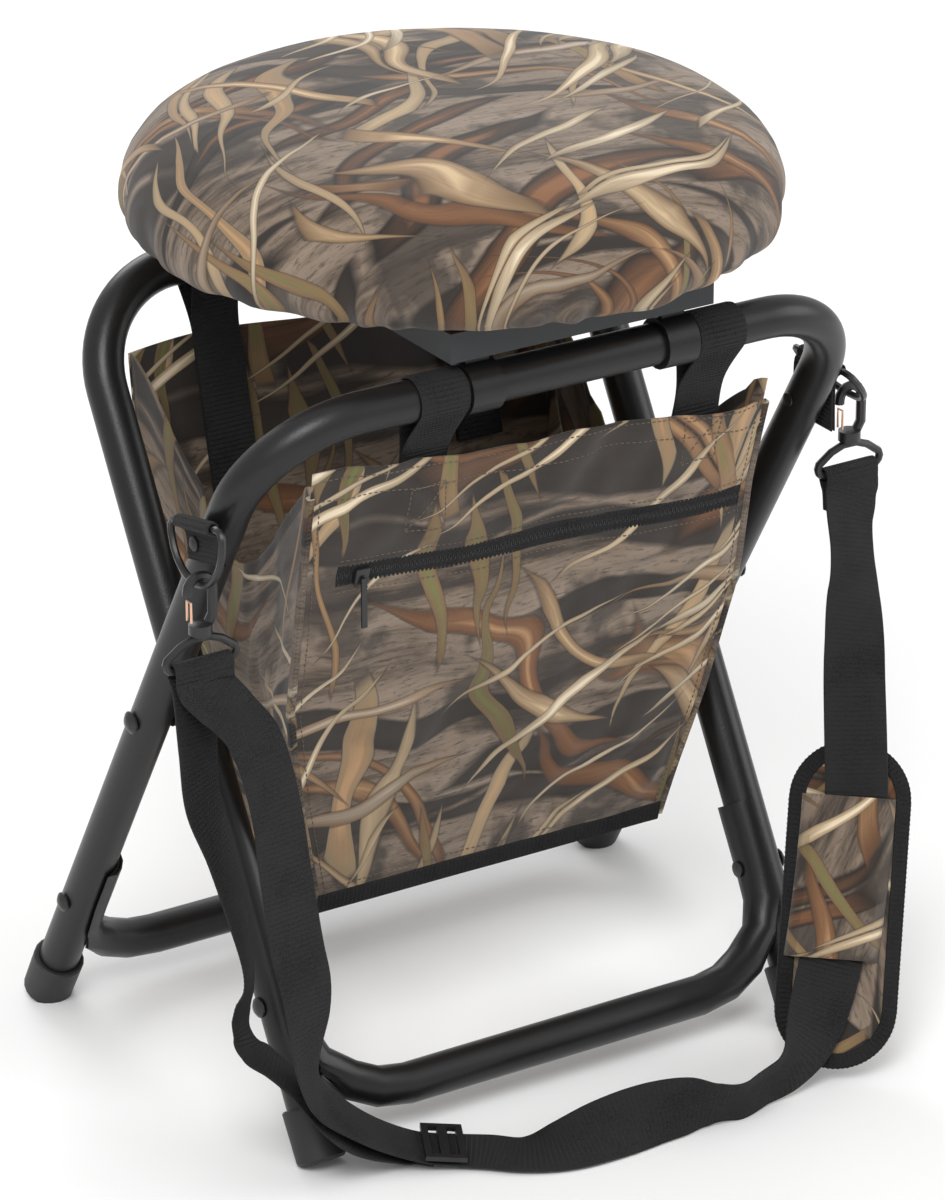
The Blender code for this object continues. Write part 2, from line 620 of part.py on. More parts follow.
# ---------------------------------------------------------------- strap hardware
def d_ring(side, label):
    """A D-ring whose straight side hangs in a webbing tab, screwed to an outer leg."""
    ring_y, tilt, lean, tab_length = DRINGS[label]
    centre = Vector((side * DRING_X, ring_y, DRING_Z))
    swing = joint_empty(f"dring_swing_{label}", centre)
    along = Vector((0, cos(lean), -sin(lean)))
    tab_up = Vector((0, sin(lean), cos(lean)))
    up = tab_up * cos(tilt) - X * (side * sin(tilt))
    corner = 0.005
    points = [centre + along * (DRING_HALF - corner) * t for t in (-1, 0, 1)]
    points += arc(centre + along * (DRING_HALF - corner) - up * corner, along, up, corner, 60, 0, 2)
    points += arc(centre - up * (DRING_DROP - DRING_HALF), along, up, DRING_HALF, -8, -172, 12)
    points += arc(centre - along * (DRING_HALF - corner) - up * corner, -along, up, corner, 0, 60, 2)
    add(f"dring_{label}", bar(points, [along.cross(up)] * len(points), circle(DRING_WIRE, 8), cyclic=True),
        "plastic", centre, swing)

    radius = DRING_WIRE + GAP + WEB / 2
    wrap = arc(centre, -X * side, tab_up, radius, -30, 210, 8)
    inner_x = side * (OUTER_X + TUBE_R + GAP + WEB / 2) - centre.x
    outer_x = inner_x + side * (WEB + GAP)
    pinch = 0.0060
    points = [centre + X * inner_x - tab_up * depth for depth in (tab_length, pinch)] + wrap
    points += [centre + X * outer_x - tab_up * depth for depth in (pinch, tab_length)]
    tab = add(f"dring_tab_{label}", bar(points, [along] * len(points), webbing_outline(TAB_WIDTH)), "webbing")
    screw_z = DRING_Z - TAB_SCREW
    screw_y = leg_point(0, -1, screw_z).y
    reach = (side * (OUTER_X - 0.03), side * (OUTER_X + 0.03))
    through_hole(tab, f"cut_dring_tab_{label}", reach, screw_y, screw_z, 0.0020 + GAP)
    through_hole(bpy.data.objects["outer_frame_tube"], f"cut_dring_leg_{label}", reach, screw_y,
                 screw_z, 0.0020 + GAP)
    add(f"dring_screw_{label}",
        headed_pin(centre.x + outer_x + side * (WEB / 2 + GAP), side * (OUTER_X - TUBE_R - GAP), screw_y,
                   screw_z, 0.0020, 0.0040, 0.0022, 0.0038, 0.0016), "steel")
    return centre - up * DRING_DROP


def snap_hook(label, wire):
    """Plastic hook on a ring's lowest wire, its wire gate, and the swivelling strap loop."""
    axis = Vector((wire.x, wire.y, 0))
    base_z = wire.z - 0.0232
    turn = joint_empty(f"hook_swivel_{label}", axis + Z * base_z)
    arch_r = 0.0072
    arch = axis + Z * (wire.z + DRING_WIRE + HOOK_WIRE + GAP - arch_r)
    points = [axis + Z * base_z, axis + X * 0.004 + Z * (base_z + 0.001),
              axis + X * arch_r + Z * (base_z + 0.0065), arch + X * arch_r - Z * 0.004]
    points += arc(arch, X, Z, arch_r, 0, 180, 8)
    points.append(arch - X * arch_r - Z * 0.002)
    hook = add(f"hook_{label}", bar(points, [Y] * len(points), circle(HOOK_WIRE, 8)), "plastic",
               place_of(turn), turn)
    collar = turned([(0, 0), (0.0062, 0), (0.0062, 0.0058), (0.0040, 0.0066), (0, 0.0066)],
                    axis + Z * (base_z - 0.0034), Z, 16)
    boolean(hook, add(f"join_hook_{label}", collar, "plastic"), "UNION")
    bore = rod(0.0024 + GAP, axis + Z * (base_z - 0.01), axis + Z * (base_z + 0.0018), 12)
    boolean(hook, add(f"cut_hook_{label}", bore, "plastic"), "DIFFERENCE")

    pivot = axis - X * 0.0064 + Z * (base_z + 0.0045)
    gate = joint_empty(f"gate_swing_{label}", pivot, turn)
    tip = arch - X * 0.0064 - Z * 0.0056
    half = Y * 0.0021
    low, high = pivot + Z * 0.0002, tip
    points = [low - half, low.lerp(high, 0.5) - half, high - half, high + half,
              low.lerp(high, 0.5) + half, low + half]
    add(f"hook_gate_{label}", bar(points, [X] * len(points), circle(0.0007, 6)), "copper", pivot, gate)

    bar_z = wire.z - 0.0440
    corner = 0.0045
    half_width_loop = 0.0205
    corner_at = Vector((half_width_loop - corner, 0, bar_z + corner))
    points = arc(axis + corner_at, X, Z, corner, -90, 30, 4)
    points += [axis + Vector((x, 0, bar_z + z)) for x, z in
               ((0.0120, 0.0125), (0.0045, 0.0152), (-0.0045, 0.0152), (-0.0120, 0.0125))]
    points += arc(axis + corner_at - X * (2 * corner_at.x), -X, Z, corner, 30, -90, 4)
    loop = add(f"hook_loop_{label}", bar(points, [Y] * len(points), circle(0.0022, 8), cyclic=True),
               "plastic")
    neck = bar_z + 0.0145
    stem = turned([(0, neck), (0.0024, neck), (0.0024, base_z + 0.0012), (0, base_z + 0.0012)], axis, Z, 12)
    boolean(loop, add(f"join_hook_loop_{label}", stem, "plastic"), "UNION")


# ---------------------------------------------------------------- shoulder strap
# Route of the long strand: left hook loop, down past the front left leg, along the
# ground on edge, up in front of the shoulder pad, and to the right hook loop.
# Each entry is a point and the direction across the webbing.
LONG_ROUTE = [
    ((-0.2000, -0.0922, 0.2800), (1.00, 0.00, 0.00)),
    ((-0.1997, -0.0930, 0.2760), (1.00, 0.00, 0.00)),
    ((-0.1960, -0.0958, 0.2695), (0.98, 0.15, 0.00)),
    ((-0.1885, -0.1005, 0.2600), (0.97, 0.24, 0.00)),
    ((-0.1800, -0.1095, 0.2435), (0.98, 0.20, 0.00)),
    ((-0.1764, -0.1205, 0.2120), (0.97, 0.23, 0.00)),
    ((-0.1759, -0.1289, 0.1760), (0.98, 0.18, 0.00)),
    ((-0.1752, -0.1380, 0.1400), (0.98, 0.16, 0.00)),
    ((-0.1744, -0.1450, 0.1210), (0.97, 0.22, 0.00)),
    ((-0.1750, -0.1488, 0.1030), (0.93, 0.36, 0.00)),
    ((-0.1756, -0.1494, 0.0850), (0.83, 0.55, 0.00)),
    ((-0.1740, -0.1488, 0.0710), (0.72, 0.69, 0.00)),
    ((-0.1695, -0.1466, 0.0584), (0.61, 0.79, 0.00)),
    ((-0.1614, -0.1440, 0.0470), (0.55, 0.84, 0.00)),
    ((-0.1485, -0.1418, 0.0345), (0.51, 0.86, 0.00)),
    ((-0.1325, -0.1412, 0.0215), (0.46, 0.89, 0.00)),
    ((-0.1175, -0.1430, 0.0120), (0.43, 0.90, 0.00)),
    ((-0.1040, -0.1475, 0.0062), (0.44, 0.90, 0.00)),
    ((-0.0900, -0.1540, 0.0040), (0.53, 0.85, 0.00)),
    ((-0.0760, -0.1635, 0.0035), (0.66, 0.75, 0.02)),
    ((-0.0610, -0.1765, 0.0036), (0.58, 0.82, 0.05)),
    ((-0.0420, -0.1862, 0.0080), (0.24, 0.90, 0.36)),
    ((-0.0184, -0.1915, 0.0130), (0.04, 0.73, 0.68)),
    ((0.0074, -0.1961, 0.0168), (0.00, 0.34, 0.94)),
    ((0.0260, -0.2005, 0.0178), (-0.10, 0.05, 0.99)),
    ((0.0400, -0.2055, 0.0168), (-0.38, -0.28, 0.87)),
    ((0.0570, -0.2075, 0.0160), (-0.60, -0.38, 0.70)),
    ((0.0790, -0.2020, 0.0172), (-0.66, -0.42, 0.62)),
    ((0.0960, -0.1972, 0.0212), (-0.72, -0.20, 0.62)),
    ((0.1090, -0.1928, 0.0302), (-0.82, 0.12, 0.50)),
    ((0.1212, -0.1858, 0.0455), (-0.90, 0.38, 0.20)),
    ((0.1340, -0.1770, 0.0640), (-0.86, 0.50, 0.04)),
    ((0.1490, -0.1670, 0.0922), (-0.85, 0.53, 0.00)),
    ((0.1580, -0.1590, 0.1170), (-0.85, 0.53, 0.00)),
    ((0.1668, -0.1510, 0.1410), (-0.85, 0.53, 0.00)),
    ((0.1725, -0.1415, 0.1675), (-0.86, 0.51, 0.00)),
    ((0.1824, -0.1251, 0.1988), (-0.92, 0.38, 0.00)),
    ((0.1897, -0.1144, 0.2153), (-0.97, 0.22, 0.00)),
    ((0.1968, -0.1034, 0.2302), (-1.00, 0.01, 0.00)),
    ((0.2018, -0.0960, 0.2411), (-0.98, -0.20, 0.00)),
    ((0.2062, -0.0875, 0.2548), (-0.95, -0.30, 0.00)),
    ((0.2105, -0.0785, 0.2700), (-0.97, -0.24, 0.00)),
    ((0.2155, -0.0722, 0.2795), (-0.99, -0.12, 0.00)),
    ((0.2177, -0.0703, 0.2845), (-1.00, 0.00, 0.00)),
    ((0.2179, -0.0700, 0.2866), (-1.00, 0.00, 0.00)),
]
# Route of the return strand: left hook loop to the slider, outside the leg.
RETURN_ROUTE = [
    ((-0.2005, -0.0845, 0.2800), (1.00, 0.05, 0.00)),
    ((-0.2010, -0.0860, 0.2700), (0.98, 0.22, 0.00)),
    ((-0.2040, -0.0905, 0.2430), (0.90, 0.43, 0.00)),
    ((-0.2040, -0.0940, 0.2130), (0.86, 0.51, 0.00)),
    ((-0.1985, -0.0990, 0.1851), (0.74, 0.68, 0.00)),
    ((-0.1925, -0.1045, 0.1542), (0.67, 0.74, 0.00)),
    ((-0.1885, -0.1090, 0.1280), (0.60, 0.80, 0.00)),
    ((-0.1880, -0.1105, 0.1130), (0.62, 0.78, 0.00)),
    ((-0.1905, -0.1100, 0.1025), (0.74, 0.68, 0.00)),
    ((-0.1930, -0.1102, 0.0930), (0.72, 0.70, 0.00)),
    ((-0.1940, -0.1130, 0.0835), (0.61, 0.79, 0.00)),
    ((-0.1920, -0.1190, 0.0765), (0.54, 0.84, 0.00)),
    ((-0.1855, -0.1260, 0.0705), (0.51, 0.86, 0.00)),
    ((-0.1773, -0.1320, 0.0610), (0.51, 0.86, 0.00)),
    ((-0.1691, -0.1367, 0.0482), (0.51, 0.86, 0.00)),
    ((-0.1592, -0.1425, 0.0352), (0.54, 0.84, 0.00)),
    ((-0.1420, -0.1400, 0.0215), (0.54, 0.84, 0.00)),
    ((-0.1245, -0.1375, 0.0108), (0.46, 0.89, 0.00)),
    ((-0.1105, -0.1375, 0.0042), (0.43, 0.90, 0.00)),
    ((-0.0980, -0.1438, 0.0014), (0.47, 0.88, 0.00)),
]
PAD_HALF_WIDTH = 0.032
PAD_TOP, PAD_BOTTOM = Vector((0.1788, -0.1313, 0.1643)), Vector((0.1250, -0.1921, 0.0088))
PAD_THICKNESS = 0.010


def smooth_route(route, per_span=2):
    """Catmull-Rom points and across directions through a hand-laid route."""
    def blend(a, b, c, d, t):
        return 0.5 * ((2 * b) + (c - a) * t + (2 * a - 5 * b + 4 * c - d) * t * t
                      + (3 * b - a - 3 * c + d) * t ** 3)

    keys = [(Vector(p), Vector(s).normalized()) for p, s in route]
    keys = [keys[0]] + keys + [keys[-1]]
    points, sides = [], []
    for i in range(1, len(keys) - 2):
        for step in range(per_span):
            t = step / per_span
            points.append(blend(*(keys[i + k][0] for k in (-1, 0, 1, 2)), t))
            sides.append(blend(*(keys[i + k][1] for k in (-1, 0, 1, 2)), t).normalized())
    return points + [keys[-1][0]], sides + [keys[-1][1]]


def strap(name, route):
    points, sides = smooth_route(route)
    add(name, bar(points, sides, webbing_outline(STRAP_WIDTH, 0.0016)), "webbing")


def oriented(bm, centre, side, up):
    """Turn a shape made flat in XY so that its X is `side` and its Y is near `up`."""
    side = side.normalized()
    normal = side.cross(up).normalized()
    turn = Matrix((side, normal.cross(side), normal)).transposed().to_4x4()
    bmesh.ops.transform(bm, verts=bm.verts, matrix=Matrix.Translation(centre) @ turn)
    return bm


def outline_plate(outline, thickness):
    """A flat plate of an outline in XY, centred on z = 0."""
    bm = bmesh.new()
    face = bm.faces.new([bm.verts.new((x, y, -thickness / 2)) for x, y in outline])
    top = bmesh.ops.extrude_face_region(bm, geom=[face])["geom"]
    bmesh.ops.translate(bm, vec=(0, 0, thickness), verts=[v for v in top if isinstance(v, bmesh.types.BMVert)])
    return bm


def shoulder_pad():
    """A stadium-shaped pad behind the strap."""
    axis = PAD_TOP - PAD_BOTTOM
    straight = axis.length / 2 - PAD_HALF_WIDTH
    outline = []
    for way in (1, -1):
        for i in range(11):
            t = pi * i / 10
            outline.append((way * PAD_HALF_WIDTH * cos(t), way * (straight + PAD_HALF_WIDTH * sin(t))))
    bm = oriented(outline_plate(outline, PAD_THICKNESS), (PAD_TOP + PAD_BOTTOM) / 2,
                  Vector((0.85, -0.53, 0)), axis)
    add("shoulder_pad", bm, "camo")


def strap_slider():
    """A three-bar slide on the strap: a frame with two slots."""
    side, up = Vector((0.89, -0.45, -0.10)), Vector((0.45, 0.89, 0))
    centre = Vector((-0.0960, -0.1512, 0.0048)) + side.cross(up).normalized() * 0.0042
    outline = [(-0.011, -0.0185), (0.011, -0.0185), (0.011, 0.0185), (-0.011, 0.0185)]
    slider = add("strap_slider", oriented(outline_plate(outline, 0.0026), centre, side, up), "plastic")
    for way in (-1, 1):
        slot = [(-0.0024, -0.0148), (0.0024, -0.0148), (0.0024, 0.0148), (-0.0024, 0.0148)]
        tool = oriented(outline_plate(slot, 0.01), centre + side.normalized() * (0.0050 * way), side, up)
        boolean(slider, add(f"cut_strap_slider_{way + 1}", tool, "plastic"), "DIFFERENCE")


def main():
    clear_scene()
    fold = joint_empty("frame_fold", (0, 0, PIVOT_Z))
    seat_hinge = joint_empty("seat_flip", FRONT_BAR)
    seat_turn = joint_empty("seat_swivel", (SEAT_X, 0, TRAY_TOP_Z), seat_hinge)

    frame("outer", OUTER_X, -1)
    frame("inner", INNER_X, 1, fold)
    pivots()

    seat_tray(seat_hinge)
    for side, label in ((-1, "left"), (1, "right")):
        hinge_collar(f"hinge_collar_{label}", SEAT_X + side * COLLAR_X, seat_hinge)
        rest_saddle(f"rest_saddle_{label}", SEAT_X + side * SADDLE_X, seat_hinge)
    board_z = turntable(seat_hinge, seat_turn)
    seat_top(seat_turn, board_z)

    bag_panel("bag_front_panel", -1, None)
    bag_panel("bag_back_panel", 1, fold)
    bag_bottom()
    for side, label in ((-1, "left"), (1, "right")):
        bag_gusset(f"bag_gusset_{label}", side)
        webbing_loop(f"front_loop_{label}", SEAT_X + side * FRONT_LOOP_X, -1, 0.335, None)
        webbing_loop(f"rear_loop_{label}", side * REAR_LOOP_X, 1, 0.290, fold)
    zipper()

    for side, label in ((-1, "left"), (1, "right")):
        snap_hook(label, d_ring(side, label))
    strap("strap_long", LONG_ROUTE)
    strap("strap_return", RETURN_ROUTE)
    strap_slider()
    shoulder_pad()

    for obj in bpy.context.scene.objects:
        if obj.parent is None:
            obj.location.x -= MIDDLE_X


main()
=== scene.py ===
"""Looks of the folding blind stool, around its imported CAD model.

Metres, +Z up; the front (-Y) has the seat's hinge, the zip and the shoulder strap.
Coordinates are from the crossed frames' own middle, and MIDDLE moves them into the CAD's
frame.  Fabric UVs are in metres, so prints and weaves keep one scale.
"""

from math import atan2, cos, hypot, pi, radians, sin

import bmesh
import bpy
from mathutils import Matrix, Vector, noise


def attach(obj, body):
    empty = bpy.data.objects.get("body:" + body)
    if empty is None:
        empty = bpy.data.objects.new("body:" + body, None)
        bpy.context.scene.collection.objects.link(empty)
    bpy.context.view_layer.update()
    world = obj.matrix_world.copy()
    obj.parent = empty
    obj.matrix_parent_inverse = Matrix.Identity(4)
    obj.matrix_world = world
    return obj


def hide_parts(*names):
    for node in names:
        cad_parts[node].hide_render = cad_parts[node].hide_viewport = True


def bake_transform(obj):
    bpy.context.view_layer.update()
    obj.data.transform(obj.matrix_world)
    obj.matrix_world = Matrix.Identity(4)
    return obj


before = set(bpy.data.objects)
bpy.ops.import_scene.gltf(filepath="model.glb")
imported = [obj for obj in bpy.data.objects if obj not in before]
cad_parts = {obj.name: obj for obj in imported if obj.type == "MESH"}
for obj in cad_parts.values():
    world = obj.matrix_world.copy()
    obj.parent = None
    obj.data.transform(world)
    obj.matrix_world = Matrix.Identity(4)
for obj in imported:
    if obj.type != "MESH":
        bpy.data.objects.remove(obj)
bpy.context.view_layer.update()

X, Y, Z = Vector((1, 0, 0)), Vector((0, 1, 0)), Vector((0, 0, 1))
# The crossed frames' own middle, in the CAD's frame; mesh_object moves every piece by it.
MIDDLE = Vector((-0.0089, 0, 0))


# ---------------------------------------------------------------- camera, floor, lights
CAMERA_AZIMUTH = radians(-32.37)
CAMERA_ELEVATION = radians(23.75)
CAMERA_EYE = Vector((-1.5592, -2.4887, 1.5334))
CAMERA_LENS = 179.4                 # mm, with 36 mm along the picture's long side


def add_camera():
    data = bpy.data.cameras.new("camera")
    data.lens = CAMERA_LENS
    data.sensor_width = 36
    camera = bpy.data.objects.new("camera", data)
    bpy.context.scene.collection.objects.link(camera)
    back = Vector((sin(CAMERA_AZIMUTH) * cos(CAMERA_ELEVATION),
                   -cos(CAMERA_AZIMUTH) * cos(CAMERA_ELEVATION), sin(CAMERA_ELEVATION)))
    camera.location = CAMERA_EYE + MIDDLE
    camera.rotation_euler = back.to_track_quat("Z", "Y").to_euler()
    bpy.context.scene.camera = camera


def area_light(name, location, target, size, power):
    data = bpy.data.lights.new(name, "AREA")
    data.shape = "DISK"
    data.size = size
    data.energy = power
    lamp = bpy.data.objects.new(name, data)
    lamp.location = location
    lamp.rotation_euler = (Vector(location) - Vector(target)).to_track_quat("Z", "Y").to_euler()
    bpy.context.scene.collection.objects.link(lamp)


def add_studio():
    middle = (0, 0, 0.28)
    area_light("key", (-1.3, -1.5, 2.2), middle, 1.3, 42)
    area_light("fill", (2.2, -1.3, 1.3), middle, 1.8, 22)
    area_light("back", (0.4, 2.2, 1.8), middle, 1.6, 22)
    world = bpy.data.worlds.new("studio")
    world.use_nodes = True
    world.node_tree.nodes["Background"].inputs["Color"].default_value = (1, 1, 1, 1)
    world.node_tree.nodes["Background"].inputs["Strength"].default_value = 0.75
    bpy.context.scene.world = world
    bpy.context.scene.view_settings.view_transform = "Standard"
    bpy.ops.mesh.primitive_plane_add(size=30)
    floor = bpy.context.object
    floor.name = "floor"
    floor.data.materials.append(finish("floor", (0.86, 0.86, 0.86), 0.9)[0])


# ---------------------------------------------------------------- material helpers
def finish(name, colour, roughness, metallic=0.0, **sockets):
    """A Principled material; returns it with its tree and shader."""
    material = bpy.data.materials.new(name)
    material.use_nodes = True
    tree = material.node_tree
    shader = tree.nodes["Principled BSDF"]
    shader.inputs["Base Color"].default_value = (*colour, 1)
    shader.inputs["Roughness"].default_value = roughness
    shader.inputs["Metallic"].default_value = metallic
    for socket, value in sockets.items():
        shader.inputs[socket.replace("_", " ")].default_value = value
    return material, tree, shader


def node(tree, kind, settings=None, **inputs):
    """A new node: settings are its properties, inputs are values or sockets by name."""
    made = tree.nodes.new("ShaderNode" + kind)
    for key, value in (settings or {}).items():
        setattr(made, key, value)
    for key, value in inputs.items():
        target = made.inputs[int(key[1:]) if key[0] == "i" and key[1:].isdigit() else key.replace("_", " ")]
        if isinstance(value, bpy.types.NodeSocket):
            tree.links.new(value, target)
        else:
            target.default_value = value
    return made


def calc(tree, operation, *values):
    """The result of a math node; values are numbers or sockets."""
    inputs = {f"i{i}": value for i, value in enumerate(values)}
    return node(tree, "Math", {"operation": operation}, **inputs).outputs[0]


def mix(tree, share, a, b, blend="MIX"):
    """Colour a, changed towards b by share."""
    made = tree.nodes.new("ShaderNodeMix")
    made.data_type = "RGBA"
    made.blend_type = blend
    for index, value in ((0, share), (6, a), (7, b)):
        if isinstance(value, bpy.types.NodeSocket):
            tree.links.new(value, made.inputs[index])
        else:
            made.inputs[index].default_value = value if index == 0 else (*value, 1)
    return made.outputs[2]


def ramp(tree, value, stops):
    """A colour ramp; stops are (place, colour or grey)."""
    made = node(tree, "ValToRGB", i0=value)
    elements = made.color_ramp.elements
    while len(elements) < len(stops):
        elements.new(0.5)
    for element, (place, colour) in zip(elements, stops):
        element.position = place
        element.color = (*colour, 1) if isinstance(colour, tuple) else (colour, colour, colour, 1)
    return made.outputs[0]


def noise_of(tree, vector, scale, detail, roughness=0.55):
    return node(tree, "TexNoise", Vector=vector, Scale=scale, Detail=detail, Roughness=roughness)


def bump(tree, shader, height, distance, strength):
    made = node(tree, "Bump", Height=height, Distance=distance, Strength=strength)
    tree.links.new(made.outputs[0], shader.inputs["Normal"])


def place(tree):
    return node(tree, "TexCoord").outputs["Object"]


def uv_of(tree):
    return node(tree, "UVMap", {"uv_map": "fabric"}).outputs[0]


def shaded(colour, factor):
    """The colour made lighter or darker by a factor."""
    return tuple(min(1, c * factor) for c in colour)


# ---------------------------------------------------------------- materials
def powder_coat(name, colour, roughness, grain):
    """Powder coat: fine orange peel, with the shine a little uneven."""
    material, tree, shader = finish(name, colour, roughness, 0.0, Specular_IOR_Level=0.36)
    at = place(tree)
    cloud = noise_of(tree, at, 9, 4).outputs[0]
    tint = ramp(tree, cloud, ((0.35, shaded(colour, 0.85)), (0.7, shaded(colour, 1.25))))
    tree.links.new(tint, shader.inputs["Base Color"])
    shine = calc(tree, "MULTIPLY_ADD", cloud, 0.16, roughness - 0.08)
    tree.links.new(shine, shader.inputs["Roughness"])
    peel = noise_of(tree, at, grain, 2).outputs[0]
    bump(tree, shader, peel, 0.00025, 0.35)
    return material


def moulded(name, colour, roughness, grain=900, depth=0.00015):
    """Moulded plastic or rubber with a fine matt grain."""
    material, tree, shader = finish(name, colour, roughness)
    at = place(tree)
    cloud = noise_of(tree, at, 25, 3).outputs[0]
    tint = ramp(tree, cloud, ((0.3, shaded(colour, 0.8)), (0.75, shaded(colour, 1.3))))
    tree.links.new(tint, shader.inputs["Base Color"])
    bump(tree, shader, noise_of(tree, at, grain, 2).outputs[0], depth, 0.5)
    return material


def bare_metal(name, colour, roughness):
    material, tree, shader = finish(name, colour, roughness, 1.0)
    at = place(tree)
    streak = noise_of(tree, at, 160, 3).outputs[0]
    shine = calc(tree, "MULTIPLY_ADD", streak, 0.25, roughness - 0.1)
    tree.links.new(shine, shader.inputs["Roughness"])
    bump(tree, shader, streak, 0.0001, 0.3)
    return material


def plywood(name):
    material, tree, shader = finish(name, (0.45, 0.30, 0.17), 0.75)
    at = node(tree, "Mapping", Vector=place(tree), Scale=(1.5, 14, 8)).outputs[0]
    grain = noise_of(tree, at, 9, 6).outputs[0]
    tint = ramp(tree, grain, ((0.3, (0.30, 0.18, 0.09)), (0.5, (0.46, 0.31, 0.18)),
                              (0.7, (0.56, 0.40, 0.24))))
    tree.links.new(tint, shader.inputs["Base Color"])
    bump(tree, shader, grain, 0.0003, 0.4)
    return material


def woven(name, colour, roughness=0.85, across=1500, along=620):
    """Webbing or tape: fine ribs, with painted shade in the weave's gaps, painted highlights on its raised
    ribs, and some sheen.
    """
    material, tree, shader = finish(name, colour, roughness, Sheen_Weight=0.03, Sheen_Roughness=0.5,
                                    Specular_IOR_Level=0.26)
    parts = node(tree, "SeparateXYZ", Vector=uv_of(tree))
    warp = calc(tree, "SINE", calc(tree, "MULTIPLY", parts.outputs[0], across * 2))
    weft = calc(tree, "SINE", calc(tree, "MULTIPLY", parts.outputs[1], along * 2 * pi))
    height = calc(tree, "MULTIPLY", warp, weft)
    fuzz = noise_of(tree, uv_of(tree), 700, 3).outputs[0]
    cloud = noise_of(tree, uv_of(tree), 30, 3).outputs[0]
    # Painted shade and highlight: the weave's gaps darker and its raised ribs lighter, over random tone from
    # fuzz and cloud.
    rib_shade_and_tone = calc(tree, "ADD", calc(tree, "MULTIPLY", height, 0.15), calc(tree, "ADD", fuzz, cloud))
    tint = ramp(tree, rib_shade_and_tone, ((0.7, shaded(colour, 0.55)), (1.0, shaded(colour, 1.7))))
    tree.links.new(tint, shader.inputs["Base Color"])
    bump(tree, shader, height, 0.00025, 0.5)
    return material


# Blade layers of the reed print, from the back to the front: angle in degrees, length and
# width of a blade in metres, how many cells hold one, how much it bends, colours.
STRAW, TAN, RUST = (0.50, 0.37, 0.22), (0.33, 0.195, 0.095), (0.20, 0.085, 0.034)
DARK, GREY, GREEN = (0.020, 0.015, 0.012), (0.34, 0.29, 0.23), (0.085, 0.10, 0.030)
CREAM = (0.60, 0.51, 0.38)
BLADES = (
    (6, 0.210, 0.0260, 0.24, 0.050, DARK, (0.045, 0.033, 0.025)),
    (-20, 0.150, 0.0200, 0.15, 0.060, RUST, DARK),
    (34, 0.150, 0.0150, 0.15, 0.080, TAN, RUST),
    (-66, 0.120, 0.0120, 0.11, 0.080, TAN, STRAW),
    (78, 0.100, 0.0075, 0.08, 0.060, GREEN, TAN),
    (-8, 0.140, 0.0100, 0.09, 0.055, GREY, TAN),
    (52, 0.110, 0.0130, 0.10, 0.075, STRAW, TAN),
    (-38, 0.110, 0.0056, 0.09, 0.050, CREAM, STRAW),
)


